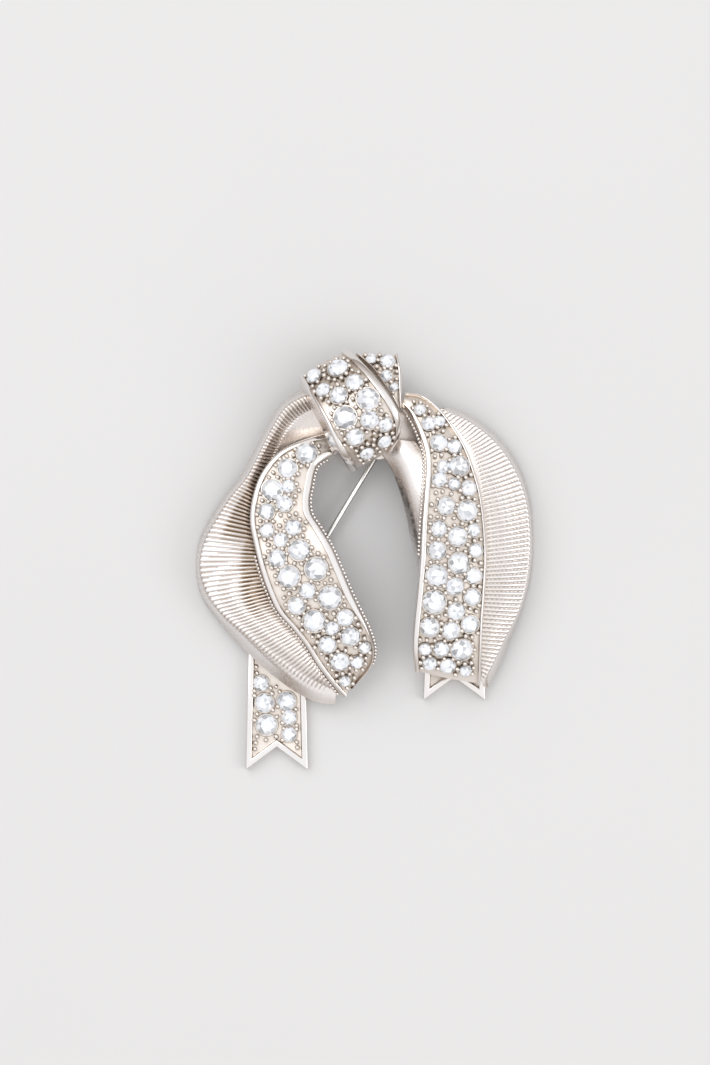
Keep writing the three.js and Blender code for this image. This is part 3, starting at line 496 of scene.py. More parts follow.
class Finish:
    """A node material under construction, with short ways to add its nodes."""

    def __init__(self, name):
        if name in bpy.data.materials:
            raise RuntimeError(f"there is already a material called {name}")
        material = bpy.data.materials.new(name)
        material.use_nodes = True
        self.tree = material.node_tree
        self.shader = self.tree.nodes["Principled BSDF"]
        coordinates = self.tree.nodes.new("ShaderNodeTexCoord")
        self.place = coordinates.outputs["Object"]

    def set(self, **values):
        for key, value in values.items():
            self.shader.inputs[key.replace("_", " ")].default_value = value

    def noise(self, scale, detail=3.0, roughness=0.5, stretch=None):
        node = self.tree.nodes.new("ShaderNodeTexNoise")
        node.inputs["Scale"].default_value = scale
        node.inputs["Detail"].default_value = detail
        node.inputs["Roughness"].default_value = roughness
        source = self.place
        if stretch:
            mapping = self.tree.nodes.new("ShaderNodeMapping")
            mapping.inputs["Scale"].default_value = stretch
            self.tree.links.new(source, mapping.inputs["Vector"])
            source = mapping.outputs["Vector"]
        self.tree.links.new(source, node.inputs["Vector"])
        return node.outputs["Fac"]

    def ramp(self, source, stops):
        node = self.tree.nodes.new("ShaderNodeValToRGB")
        ramp = node.color_ramp
        while len(ramp.elements) < len(stops):
            ramp.elements.new(0.5)
        for element, (position, colour) in zip(ramp.elements, stops):
            element.position = position
            element.color = (*colour, 1.0)
        self.tree.links.new(source, node.inputs["Fac"])
        return node.outputs["Color"]

    def spread(self, source, low, high, from_low=0.3, from_high=0.7):
        node = self.tree.nodes.new("ShaderNodeMapRange")
        node.inputs["From Min"].default_value = from_low
        node.inputs["From Max"].default_value = from_high
        node.inputs["To Min"].default_value = low
        node.inputs["To Max"].default_value = high
        self.tree.links.new(source, node.inputs["Value"])
        return node.outputs["Result"]

    def mix(self, factor, first, second, kind="MIX"):
        node = self.tree.nodes.new("ShaderNodeMix")
        node.data_type = "RGBA"
        node.blend_type = kind
        for socket, value in (("Factor", factor), ("A", first), ("B", second)):
            index = {"Factor": 0, "A": 6, "B": 7}[socket]
            if isinstance(value, bpy.types.NodeSocket):
                self.tree.links.new(value, node.inputs[index])
            else:
                node.inputs[index].default_value = value if socket == "Factor" else (*value, 1.0)
        return node.outputs[2]

    def feed(self, source, socket):
        self.tree.links.new(source, self.shader.inputs[socket])

    def painted(self, layer):
        """The colour that a mesh carries in one of its attributes."""
        node = self.tree.nodes.new("ShaderNodeVertexColor")
        node.layer_name = layer
        return node.outputs["Color"]

    def bump(self, source, strength, distance):
        node = self.tree.nodes.new("ShaderNodeBump")
        node.inputs["Strength"].default_value = strength
        node.inputs["Distance"].default_value = distance
        self.tree.links.new(source, node.inputs["Height"])
        self.feed(node.outputs["Normal"], "Normal")

    def hollows(self, distance):
        """How open a point is: 1 in the open and 0 deep in a corner."""
        node = self.tree.nodes.new("ShaderNodeAmbientOcclusion")
        node.samples = 6
        node.inputs["Distance"].default_value = distance
        return node.outputs["AO"]


# The dark brown of the painted shade in the loops' grooves, valleys and walls.
GROOVE_SHADE_COLOUR = (0.31, 0.22, 0.14)


def plated_metal(name, colour, low, high, grain, stretch=None, painted_shade_range=(0.2, 0.72)):
    """Plated metal whose polish varies a little, with painted shade that darkens and warms its
    hollows and its walls.
    """
    finish = Finish(name)
    # Painted shade: the darker colour that the metal takes deep in its hollows.
    painted_hollow_shade = tuple(channel * shade for channel, shade in zip(colour, (0.62, 0.57, 0.515)))
    cloud = finish.noise(180, 3, 0.55)
    tint = finish.ramp(cloud, [(0.3, tuple(c * 0.96 for c in colour)), (0.7, colour)])
    # Painted shade from occlusion: within 0.9 mm the metal darkens, and walls hemmed in over 9 mm
    # turn warmer and darker.
    near = finish.spread(finish.hollows(0.9 * MM), 0.0, 1.0, *painted_shade_range)
    wide = finish.spread(finish.hollows(9 * MM), 0.0, 1.0, 0.35, 0.95)
    painted_wall_shade = tuple(channel * shade for channel, shade in zip(colour, (0.92, 0.87, 0.815)))
    metal_with_painted_shade = finish.mix(near, painted_hollow_shade, finish.mix(wide, painted_wall_shade, tint))
    # Painted shade of the loops' grooves and valleys, carried by a mesh attribute.
    finish.feed(finish.mix(finish.painted("painted_groove_shade"), metal_with_painted_shade, GROOVE_SHADE_COLOUR), "Base Color")
    scratches = finish.noise(grain, 4, 0.6, stretch)
    finish.feed(finish.spread(scratches, low, high), "Roughness")
    finish.bump(scratches, 0.05, 0.02 * MM)
    finish.set(Metallic=1.0)


def foiled_crystal(name, colour):
    """Foil-backed cut crystal: bright facets, each with its own painted reflection of the foil,
    and fine painted sparkle.
    """
    finish = Finish(name)
    facet = finish.painted("facet")
    flecks = finish.noise(900, 2, 0.6)
    # Painted sparkle: fine flecks that dim the facets' painted reflections a little.
    painted_sparkle = finish.ramp(flecks, [(0.35, (0.9, 0.92, 0.95)), (0.6, (1.0, 1.0, 1.0))])
    # The facets' painted reflections, dimmed by the painted sparkle.
    body = finish.mix(1.0, facet, painted_sparkle, "MULTIPLY")
    finish.feed(finish.mix(1.0, body, colour, "MULTIPLY"), "Base Color")
    finish.feed(finish.spread(flecks, 0.03, 0.1), "Roughness")
    finish.set(Metallic=0.15, Coat_Weight=0.6, Coat_Roughness=0.03, IOR=1.55)


def plain_surface(name, colour):
    finish = Finish(name)
    cloud = finish.noise(9, 3, 0.5)
    low = tuple(channel * 0.985 for channel in colour)
    finish.feed(finish.ramp(cloud, [(0.3, low), (0.7, colour)]), "Base Color")
    finish.set(Roughness=0.55)


def finishes(colours):
    """Makes every finish of the brooch."""
    plated_metal("bright_rhodium", colours.rhodium, 0.07, 0.18, 2600)
    # The metal of the stones' bed, beads and collars: a little darker and warmer than the rims.
    plated_metal("darker_bed_metal", colours.bed, 0.24, 0.42, 3200, painted_shade_range=(0.12, 0.72))
    plated_metal("brushed_rhodium", colours.satin, 0.16, 0.34, 1800, (1.0, 1.0, 0.3))
    plated_metal("cast_back", colours.satin, 0.28, 0.46, 3600)
    plated_metal("bright_steel", colours.steel, 0.12, 0.3, 3000, (0.3, 1.0, 1.0))
    foiled_crystal("foiled_crystal", colours.stone)


# ---------------------------------------------------------------- stone-set ribbons

BED_THICKNESS = 0.65
# A rim takes at most this share of the ribbon's width.
RIM_LIMIT = 0.34
# The outline's points between which the stones' bed lies, and those that follow it behind.
BED_FIRST, BED_LAST = 14, 24


def channel(width, wall, rims, depth, edge, flare):
    """The rounded outline of a channel between its left and its right rim."""
    left, right = (min(rim, width * RIM_LIMIT) for rim in rims)
    bed = -depth
    back = bed - BED_THICKNESS
    field = [left + (width - left - right) * share for share in (0.2, 0.4, 0.6, 0.8)]
    crown = edge * 0.35
    left_edge, right_edge = (min(edge, rim * 0.45) for rim in (left, right))
    corners = [(-flare[0], -wall, 0.12), (0, 0, left_edge)]
    corners += [(left / 2, crown, 0), (left, 0, left_edge)]
    corners += [(left, bed, 0.06)] + [(offset, bed, 0) for offset in field]
    corners += [(width - right, bed, 0.06), (width - right, 0, right_edge)]
    corners += [(width - right / 2, crown, 0), (width, 0, right_edge)]
    corners += [(width + flare[1], -wall, 0.12)]
    corners += [(width - right, back, 0)] + [(offset, back, 0) for offset in reversed(field)]
    corners += [(left, back, 0)]
    return rounded(corners)


def ribbon_solid(name, ribbon, steps, wall, sizes):
    rim = sizes.rim_width / MM
    depth = sizes.channel_depth / MM
    edge = sizes.edge_round / MM
    sections = []
    for step in range(steps + 1):
        along = step / steps
        cross = ribbon.cross(along)
        rims = [rim * share for share in ribbon.rims(along)]
        outline = channel(cross[3], wall, rims, depth, edge, ribbon.flare)
        sections.append([ribbon.point(cross, corner.x, corner.y) for corner in outline])
    piece = swept(name, sections)
    coat(piece, "bright_rhodium", "darker_bed_metal", "cast_back")
    count = len(sections[0])
    layer = piece.data.uv_layers.active.data
    for face in piece.data.polygons:
        columns = [layer[corner].uv.y * count for corner in face.loop_indices]
        middle = sum(columns) / len(columns)
        if BED_FIRST <= middle <= BED_LAST:
            face.material_index = 1
        elif middle > count - 6:
            face.material_index = 2
    smooth(piece)
    return piece


# ---------------------------------------------------------------- stones, seats and beads

TABLE = 0.28
STAR = 0.4
GIRDLE = 0.5
CROWN = 0.24
STAR_HEIGHT = 0.15
GIRDLE_BAND = 0.035
STONE_FOOT = 0.1


def cut_stone_pattern():
    """A brilliant of diameter 1, its girdle's top edge at height 0, without its hidden point."""
    corners = [Vector((0, 0, CROWN))]
    eighth = math.pi / 4

    def ring(radius, height, count, offset):
        start = len(corners)
        for index in range(count):
            turn = 2 * math.pi * index / count + offset
            corners.append(Vector((radius * math.cos(turn), radius * math.sin(turn), height)))
        return start

    table = ring(TABLE, CROWN, 8, 0)
    star = ring(STAR, STAR_HEIGHT, 8, eighth / 2)
    girdle = ring(GIRDLE, 0, 16, 0)
    under = ring(GIRDLE, -GIRDLE_BAND, 16, 0)
    foot = ring(GIRDLE * 0.8, -STONE_FOOT, 16, 0)
    faces = []
    for index in range(8):
        after = (index + 1) % 8
        before = (index - 1) % 8
        rim = girdle + 2 * index
        rim_next = girdle + (2 * index + 2) % 16
        faces.append((0, table + index, table + after))
        faces.append((table + index, star + index, table + after))
        faces.append((table + index, star + before, rim, star + index))
        faces.append((star + index, rim, rim + 1))
        faces.append((star + index, rim + 1, rim_next))
    for index in range(16):
        after = (index + 1) % 16
        faces.append((girdle + index, under + index, under + after, girdle + after))
        faces.append((under + index, foot + index, foot + after, under + after))
    faces.append(tuple(foot + index for index in reversed(range(16))))
    mesh = bpy.data.meshes.new("cut_stone_pattern")
    mesh.from_pydata([corner[:] for corner in corners], [], faces)
    mesh.update()
    return mesh


def bead_pattern(sides, rings):
    """A small round bead of diameter 1, made by a sphere primitive."""
    deselect()
    bpy.ops.mesh.primitive_uv_sphere_add(segments=sides, ring_count=rings, radius=0.5)
    bead = named("bead_pattern")
    mesh = bead.data.copy()
    bpy.data.objects.remove(bead)
    return mesh


def seat_pattern():
    """The thin raised collar round a stone of diameter 1."""
    deselect()
    bpy.ops.mesh.primitive_torus_add(
        major_segments=24, minor_segments=6, major_radius=0.52, minor_radius=0.045
    )
    collar = named("seat_pattern")
    mesh = collar.data.copy()
    bpy.data.objects.remove(collar)
    return mesh


# Odds of each grey: painted reflections on table, crown and girdle facets; painted shade on hidden
# sides.
TABLE_TONES = ((1.0, 0.88, 0.64), (66, 20, 14))
CROWN_TONES = ((1.0, 0.82, 0.5), (60, 22, 18))
GIRDLE_TONES = ((1.0, 0.76, 0.42), (54, 26, 20))
SIDE_TONES = ((0.34, 0.26), (50, 50))


def facet_tones(seed, count):
    """A function that gives each facet a painted reflection: the brightness of the foil that it
    happens to reflect.
    """
    chance = random.Random(seed)

    def tone(face):
        place = face.index % count
        if place >= 40:
            tones = SIDE_TONES
        else:
            tones = (TABLE_TONES, CROWN_TONES, CROWN_TONES, GIRDLE_TONES, GIRDLE_TONES)[place % 5]
        grey = chance.choices(*tones)[0]
        return (grey * 0.97, grey * 0.985, grey)

    return tone


GIRDLE_SINK = 0.12
COLLAR_SINK = 0.2
STONE_GROWTH = 1.1
SEED = 7


def seats_on(ribbon, stones, sizes):
    """The place, facing and diameter of every stone of a ribbon."""
    seats = []
    for x, y, diameter in stones:
        size = diameter * STONE_GROWTH
        place, normal = ribbon.seat(x, y, 0.02 + size / 2, sizes.rim_width / MM)
        seats.append((place, normal, size))
    return seats


def stone_places(seats, chance):
    return [
        standing(place - normal * GIRDLE_SINK, normal, diameter, chance.uniform(0, math.pi / 4))
        for place, normal, diameter in seats
    ]


def collars(name, seats):
    pattern = seat_pattern()
    places = [
        standing(place - normal * (GIRDLE_SINK + COLLAR_SINK), normal, diameter)
        for place, normal, diameter in seats
    ]
    piece = repeated(name, pattern, places)
    coat(piece, "darker_bed_metal")
    smooth(piece, 60)
    return piece


# In bead diameters: a bead's least and greatest distance from a stone, and from the next bead.
SNUG = 0.27
REACH = 1.3
SPACING = 1.34
BEAD_SINK = 0.06
FIELD_ENDS = (0.02, 0.98)
FIELD_PACE = 0.16


def free_places(ribbon, seats, sizes, bead):
    """Places for beads between the stones, snug against them, over the whole field of a ribbon."""
    pace = FIELD_PACE
    start, end = FIELD_ENDS
    rim = sizes.rim_width / MM
    steps = int(ribbon.length() / pace)
    found, facings = [], []
    for step in range(steps + 1):
        along = start + (end - start) * step / steps
        cross = ribbon.cross(along)
        widths = (min(rim * share, cross[3] * RIM_LIMIT) for share in ribbon.rims(along))
        left, right = (width + bead * 0.3 for width in widths)
        across = int(max(cross[3] - left - right, 0) / pace)
        for index in range(across + 1):
            offset = left + index * pace
            found.append(ribbon.point(cross, offset, 0))
            facings.append(ribbon.facing(cross, offset))
    points = np.array([point[:] for point in found])
    rooms = [
        np.linalg.norm(points - np.array(place[:]), axis=1) - diameter / 2
        for place, _, diameter in seats
    ]
    rooms = np.sort(np.array(rooms), axis=0)
    first, second = rooms[0], rooms[1]
    taken = first < bead * SNUG
    chosen = []
    # The narrow places between two stones are filled first.
    for index in np.argsort(second + 0.5 * first, kind="stable"):
        if taken[index] or first[index] > bead * REACH:
            continue
        chosen.append(index)
        taken |= np.linalg.norm(points - points[index], axis=1) < bead * SPACING
    return [(found[index], facings[index]) for index in chosen]


def beads(name, spots, bead, chance):
    pattern = bead_pattern(10, 7)
    places = []
    for place, normal in spots:
        size = bead * chance.uniform(0.9, 1.12)
        places.append(standing(place - normal * BEAD_SINK, normal, size))
    piece = repeated(name, pattern, places)
    coat(piece, "darker_bed_metal")
    smooth(piece, 60)
    return piece


# ---------------------------------------------------------------- loops and fold


class Loop:
    """A sheet that bows from its inner edge to a rounded crest and then turns down to its foot."""

    FACE = 0.74
    TURN = 0.88

    def __init__(self, rows, bow, fillet):
        self.columns = [column(rows, side) for side in range(3)]
        self.bow = bow
        self.fillet = fillet

    def smooth_point(self, along, share):
        inner, crest, foot = (spline(points, along) for points in self.columns)
        before = crest + (inner - crest).normalized() * self.fillet
        after = crest + (foot - crest).normalized() * self.fillet
        if share <= self.FACE:
            part = share / self.FACE
            place = inner.lerp(before, part)
            place.z += self.bow(along) * math.sin(math.pi * part)
            return place
        if share <= self.TURN:
            part = (share - self.FACE) / (self.TURN - self.FACE)
            return before * (1 - part) ** 2 + crest * 2 * part * (1 - part) + after * part**2
        return after.lerp(foot, (share - self.TURN) / (1 - self.TURN))

    def outward(self, along, share):
        ahead = self.smooth_point(min(along + 0.006, 1), share)
        behind = self.smooth_point(max(along - 0.006, 0), share)
        far = self.smooth_point(along, min(share + 0.02, 1))
        near = self.smooth_point(along, max(share - 0.02, 0))
        return (ahead - behind).cross(far - near).normalized()

    def rhythm(self, pitch, steps=300):
        """How many ribs lie before each of the steps along the crest."""
        places = [spline(self.columns[1], step / steps) for step in range(steps + 1)]
        ribs = [0.0]
        for step, (a, b) in enumerate(zip(places, places[1:])):
            ribs.append(ribs[-1] + (b - a).length / pitch(step / steps))
        return ribs


RIB_STEPS = 8
LOOP_COLUMNS = 44
LOOP_THICKNESS = 0.6


def ribbed_loop(name, loop, plan, height):
    """The loop's sheet with rounded ribs across it, and painted shade in the grooves between them,
    in its valleys and on its turned-down wall.
    """
    ribs = loop.rhythm(plan.pitch)
    steps = int(ribs[-1] * RIB_STEPS)
    shares = np.linspace(0, 1, len(ribs))
    alongs = np.interp(np.linspace(0, ribs[-1], steps + 1), ribs, shares)
    facing = 1 if loop.outward(0.5, 0.3).z > 0 else -1
    painted_groove_shade = []

    def place(row, step):
        along = float(alongs[row])
        share = step / LOOP_COLUMNS
        point = loop.smooth_point(along, share)
        normal = loop.outward(along, share) * facing
        phase = ribs[-1] * row / steps + plan.slant(along) * (1 - share)
        wave = abs(math.sin(math.pi * phase)) ** 0.75
        strength = plan.strength(along, share)
        painted_valley_shade = plan.painted_valley_shade(along, share)
        # Painted shade, not geometry: dark in the grooves, in the valleys and on the turned-down
        # wall.
        depth = (1 - wave) * strength * (0.22 + 1.2 * painted_valley_shade) + 0.32 * painted_valley_shade
        painted_groove_shade.append(min(depth, 1.0))
        return point + normal * height * (wave - 1) * strength

    piece = plane_grid(name, steps, LOOP_COLUMNS, place)
    layer = piece.data.color_attributes.new(name="painted_groove_shade", type="FLOAT_COLOR", domain="POINT")
    for corner, amount in zip(layer.data, painted_groove_shade):
        corner.color = (amount, amount, amount, 1)
    thicken(piece, LOOP_THICKNESS)
    coat(piece, "brushed_rhodium")
    smooth(piece, 60)
    return piece


class LeftPlan:
    """How the left loop's ribs run: fine on the upper arm and coarse at its widest place."""

    def __init__(self, pitch):
        self.base = pitch

    def pitch(self, along):
        coarse = ramp_up(along, 0.26, 0.42) * (1 - ramp_up(along, 0.55, 0.68))
        return self.base * (0.88 + 0.4 * coarse + 0.14 * ramp_up(along, 0.6, 0.7))

    def slant(self, along):
        return 0.6 * ramp_up(along, 0.4, 0.6)

    def strength(self, along, share):
        inner = 0.5 - 0.5 * ramp_up(along, 0.1, 0.26)
        widest = ramp_up(along, 0.3, 0.4) * (1 - ramp_up(along, 0.55, 0.65))
        outer = 0.8 + 0.08 * widest
        rise = ramp_up(share, inner, inner + 0.1)
        return rise * (1 - ramp_up(share, outer, outer + 0.07)) * (1 - ramp_up(along, 0.92, 0.99))

    # Painted shade: the valley where the upper arm turns, the strip beside the band where its
    # shadow falls, and the wall.
    def painted_valley_shade(self, along, share):
        bend = ramp_up(along, 0.12, 0.26) * (1 - ramp_up(along, 0.38, 0.46))
        upper = bend * (1 - ramp_up(share, 0.5, 0.66))
        edge = 0.16 + 1.2 * max(along - 0.42, 0)
        beside = (1 - ramp_up(share, edge, edge + 0.12)) * ramp_up(along, 0.3, 0.4)
        wall = 0.5 * ramp_up(share, 0.88, 0.96)
        return max(upper, beside * (1 - ramp_up(along, 0.58, 0.7)), wall)


class RightPlan:
    """How the right loop's ribs run: evenly, leaning up to the right in the upper half."""

    def __init__(self, pitch):
        self.base = pitch

    def pitch(self, along):
        return self.base * (0.96 + 0.16 * ramp_up(along, 0.1, 0.3))

    def slant(self, along):
        return -2.2 + 1.9 * ramp_up(along, 0.5, 0.95)

    def strength(self, along, share):
        inner = 0.22 - 0.18 * ramp_up(along, 0.05, 0.4)
        rise = ramp_up(share, inner, inner + 0.05)
        return rise * (1 - ramp_up(share, 0.76, 0.82)) * (1 - ramp_up(along, 0.95, 1.0))

    # Painted shade on the turned-down wall, and along the inner edge where the band's shadow
    # falls.
    def painted_valley_shade(self, along, share):
        return max(0.5 * ramp_up(share, 0.86, 0.95), 1 - ramp_up(share, 0.02, 0.12))


# ---------------------------------------------------------------- tails, pin and catch


def refined_copy(name, node, edge):
    """A merged copy of a solid with its sharp edges eased."""
    source = frame["nodes"][node]
    mesh = source.data.copy()
    piece = bpy.data.objects.new(name, mesh)
    bpy.context.scene.collection.objects.link(piece)
    edit(piece)
    bpy.ops.mesh.remove_doubles(threshold=0.002 * MM)
    bpy.ops.mesh.dissolve_limited(angle_limit=math.radians(2))
    done()
    ease(piece, edge, 2, 40)
    smooth(piece)
    return piece


def turned(name, profile, sides, frame_matrix):
    """A round piece along +Z of frame_matrix, drawn out ring by ring from its first end."""
    deselect()
    radius, height = profile[0]
    bpy.ops.mesh.primitive_circle_add(vertices=sides, radius=radius * MM, fill_type="NGON")
    piece = named(name)
    edit(piece)
    bpy.ops.transform.translate(value=(0, 0, height * MM))
    for next_radius, next_height in profile[1:]:
        rise = (0, 0, (next_height - height) * MM)
        bpy.ops.mesh.extrude_region_move(TRANSFORM_OT_translate={"value": rise})
        share = next_radius / radius
        bpy.ops.transform.resize(value=(share, share, 1), center_override=(0, 0, next_height * MM))
        radius, height = next_radius, next_height
    bpy.ops.mesh.select_all(action="SELECT")
    bpy.ops.mesh.normals_make_consistent(inside=False)
    done()
    turn = frame_matrix.copy()
    turn.translation = turn.translation * MM
    piece.data.transform(turn)
    smooth(piece)
    return piece


# The pin's point, measured from the rivet's axis.
PIN_END = 29.3
PIN_RADIUS = 0.4
TAIL_NOTCH = 3.4
TAIL_TAPER = 8.3 / 9.1


def swallow_tail(name, node, sizes):
    """The tail's plate: a block notched at its lower end, with a sunk field inside a rim."""
    low, high = (Vector(corner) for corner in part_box(node))
    centre = (low + high) / 2
    size = high - low
    deselect()
    bpy.ops.mesh.primitive_cube_add(size=1, location=centre, scale=size)
    piece = named(name)
    settle(piece)
    edit(piece)
    bpy.ops.mesh.bisect(plane_co=centre, plane_no=(1, 0, 0))
    done()
    for corner in piece.data.vertices:
        if corner.co.y > centre.y:
            corner.co.x = centre.x + (corner.co.x - centre.x) * TAIL_TAPER
        elif abs(corner.co.x - centre.x) < 0.01 * MM:
            corner.co.y += TAIL_NOTCH * MM
    coat(piece, "bright_rhodium", "darker_bed_metal")
    edit(piece)
    bpy.ops.mesh.select_mode(type="FACE")
    done()
    for face in piece.data.polygons:
        face.select = face.normal.z > 0.9
    bpy.ops.object.mode_set(mode="EDIT")
    bpy.ops.mesh.inset(thickness=sizes.tail_rim, depth=0)
    sink = (0, 0, -sizes.channel_depth)
    bpy.ops.mesh.extrude_region_move(TRANSFORM_OT_translate={"value": sink})
    piece.active_material_index = 1
    bpy.ops.object.material_slot_assign()
    done()
    ease(piece, 0.16, 3, 30)
    smooth(piece)
    return piece


# ---------------------------------------------------------------- what a user would change


def length(name, default, low, description):
    """A length that is given here in millimetres."""
    return FloatProperty(
        name=name, description=description, default=default * MM, min=low * MM, unit="LENGTH",
        precision=5,
    )


def colour(name, default, description):
    return FloatVectorProperty(
        name=name, description=description, default=default, min=0, max=1, size=3, subtype="COLOR",
    )


class BroochSizes(PropertyGroup):
    rim_width: length("Rim width", 0.75, 0.3, description="Polished rim beside a row of stones")
    channel_depth: length(
        "Channel depth", 0.55, 0.2, description="How far the stones' bed lies below the rims",
    )
    edge_round: length(
        "Edge rounding", 0.16, 0.02, description="Radius of the rims' polished edges",
    )
    tail_rim: length("Tail rim", 0.85, 0.3, description="Polished frame round a tail's stones")
    rib_pitch: length("Rib pitch", 0.62, 0.3, description="Distance between the loops' ribs")
    rib_height: length(
        "Rib height", 0.2, 0.02, description="Depth of the grooves between the ribs",
    )
    bead: length("Prong bead", 0.7, 0.3, description="Diameter of the beads that hold the stones")
    milgrain: length(
        "Milgrain bead", 0.5, 0.2, description="Diameter of the beads along the inner edges",
    )
    pin_sides: IntProperty(
        name="Pin sides", description="Faces round the pin wire", default=28, min=8,
    )


class BroochColours(PropertyGroup):
    rhodium: colour(
        "Polished metal", (0.84, 0.81, 0.795), description="Colour of the polished plating",
    )
    satin: colour(
        "Satin metal", (0.85, 0.82, 0.81), description="Colour of the ribbed and smooth sheets",
    )
    bed: colour(
        "Stone bed", (0.81, 0.765, 0.725), description="Colour of the metal between the stones",
    )
    steel: colour("Pin steel", (0.72, 0.72, 0.71), description="Colour of the pin and its rivet")
    stone: colour("Crystal", (0.97, 0.98, 1.0), description="Tint of the cut stones")
    floor: colour(
        "Floor", (0.68, 0.68, 0.68), description="Colour of the surface that the brooch lies on",
    )


class BroochStage(PropertyGroup):
    lens: FloatProperty(
        name="Lens", description="Focal length in millimetres", default=100, min=20,
        subtype="UNSIGNED",
    )
    height: FloatProperty(
        name="Camera height", description="Height of the camera above the floor",
        default=0.435, min=0.1, unit="LENGTH",
    )
    key_power: FloatProperty(
        name="Key light", description="Power of the large soft light", default=1.7, min=0,
        unit="POWER",
    )
    fill_power: FloatProperty(
        name="Fill light", description="Power of the second soft light", default=0.9, min=0,
        unit="POWER",
    )
    sky: FloatProperty(
        name="Room light", description="Brightness of the pale room", default=1.0, min=0,
    )


def settings():
    scene = bpy.context.scene
    return scene.brooch_sizes, scene.brooch_colours, scene.brooch_stage


# ---------------------------------------------------------------- operators


class BROOCH_OT_finishes(Operator):
    """Make the plated metal, steel and crystal materials"""

    bl_idname = "brooch.finishes"
    bl_label = "Finishes"

    def execute(self, context):
        finishes(settings()[1])
        return {"FINISHED"}


class BROOCH_OT_ribbons(Operator):
    """Make the rimmed ribbons: the knot, the upper fold and the two long bands"""

    bl_idname = "brooch.ribbons"
    bl_label = "Stone-set ribbons"

    def execute(self, context):
        sizes = settings()[0]
        plans = [
            ("knot_ribbon", "knot_band", KNOT, 70, 2.6),
            ("fold_ribbon", "knot_upper_fold", FOLD, 40, 1.5),
            ("left_ribbon", "left_band", LEFT_BAND, 150, 1.5),
            ("right_ribbon", "right_band", RIGHT_BAND, 140, 1.5),
        ]
        for name, node, ribbon, steps, wall in plans:
            piece = ribbon_solid(name, ribbon, steps, wall, sizes)
            finish_piece(piece, "root", "polished_rhodium", node)
        return {"FINISHED"}


class BROOCH_OT_milgrain(Operator):
    """Make the beaded wires along the inner edges of the two long bands"""

    bl_idname = "brooch.milgrain"
    bl_label = "Milgrain"

    def execute(self, context):
        bead = settings()[0].milgrain / MM
        plans = [
            ("left_milgrain_beads", ["left_milgrain"], LEFT_BAND, 1, 0.07, 0.93, 0.42),
            ("right_milgrain_beads", ["right_milgrain"], RIGHT_BAND, -1, 0.1, 0.66, 0.42),
            ("left_outer_beads", [], LEFT_BAND, -1, 0.5, 0.985, 0.55),
        ]
        for name, nodes, ribbon, side, first, last, drop in plans:
            pattern = bead_pattern(10, 8)
            edge = ribbon.right if side > 0 else ribbon.left
            fine = [first + (last - first) * step / 400 for step in range(401)]
            run = [0.0]
            for a, b in zip(fine, fine[1:]):
                run.append(run[-1] + (spline(edge, b) - spline(edge, a)).length)
            count = int(run[-1] / (bead * 1.12))
            places = []
            for along in np.interp(np.linspace(0, run[-1], count), run, fine):
                cross = ribbon.cross(float(along))
                reach = bead / 2 + 0.04
                offset = cross[3] + reach if side > 0 else -reach
                place = cross[0] + cross[1] * offset - cross[2] * drop
                places.append(standing(place, cross[2], bead * 1.04))
            piece = repeated(name, pattern, places)
            coat(piece, "bright_rhodium")
            smooth(piece, 60)
            finish_piece(piece, "root", "polished_rhodium", *nodes)
        return {"FINISHED"}


def tail_origin(node):
    """The middle of a tail's tips, on its front face."""
    low, high = (Vector(corner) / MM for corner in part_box(node))
    return Vector(((low.x + high.x) / 2, low.y, high.z))


def tail_seats(node):
    """The tail's stones in the brooch's frame."""
    origin = tail_origin(node)
    up = Vector((0, 0, 1))
    return [(origin + Vector((x, y, 0)), up, size * STONE_GROWTH) for x, y, size in TAIL_STONES]


class BROOCH_OT_stones(Operator):
    """Cut and set every stone, with its collar"""

    bl_idname = "brooch.stones"
    bl_label = "Stones"

    def execute(self, context):
        sizes = settings()[0]
        pattern = cut_stone_pattern()
        chance = random.Random(SEED)

        def cut(name, places, node):
            tones = facet_tones(chance.random(), len(pattern.polygons))
            piece = repeated(name, pattern, places, tones)
            coat(piece, "foiled_crystal")
            finish_piece(piece, "root", "crystal", node)

        singles = [
            ("knot", "knot_crystal", seats_on(KNOT, KNOT_STONES, sizes)),
            ("fold", "fold_crystal", seats_on(FOLD, FOLD_STONES, sizes)),
            ("tail", "left_tail_crystal", tail_seats("left_tail")),
        ]
        for group, node, seats in singles:
            for index, place in enumerate(stone_places(seats, chance), 1):
                cut(f"{group}_stone_{index}", [place], f"{node}_{index}")
            finish_piece(collars(f"{group}_collars", seats), "root", "polished_rhodium")
        rows = [
            ("left_band", LEFT_BAND, LEFT_BAND_STONES),
            ("right_band", RIGHT_BAND, RIGHT_BAND_STONES),
        ]
        for group, ribbon, stones in rows:
            seats = seats_on(ribbon, stones, sizes)
            cut(f"{group}_stones", stone_places(seats, chance), f"{group}_crystals")
            finish_piece(collars(f"{group}_collars", seats), "root", "polished_rhodium")
        return {"FINISHED"}


class BROOCH_OT_prongs(Operator):
    """Fill the gaps between the stones with prong beads"""

    bl_idname = "brooch.prongs"
    bl_label = "Prong beads"

    def execute(self, context):
        sizes = settings()[0]
        bead = sizes.bead / MM
        chance = random.Random(SEED + 1)
        plans = [
            ("knot_prongs", KNOT, KNOT_STONES),
            ("fold_prongs", FOLD, FOLD_STONES),
            ("left_band_prongs", LEFT_BAND, LEFT_BAND_STONES),
            ("right_band_prongs", RIGHT_BAND, RIGHT_BAND_STONES),
        ]
        for name, ribbon, stones in plans:
            seats = seats_on(ribbon, stones, sizes)
            spots = free_places(ribbon, seats, sizes, bead)
            finish_piece(beads(name, spots, bead, chance), "root", "polished_rhodium")
        return {"FINISHED"}


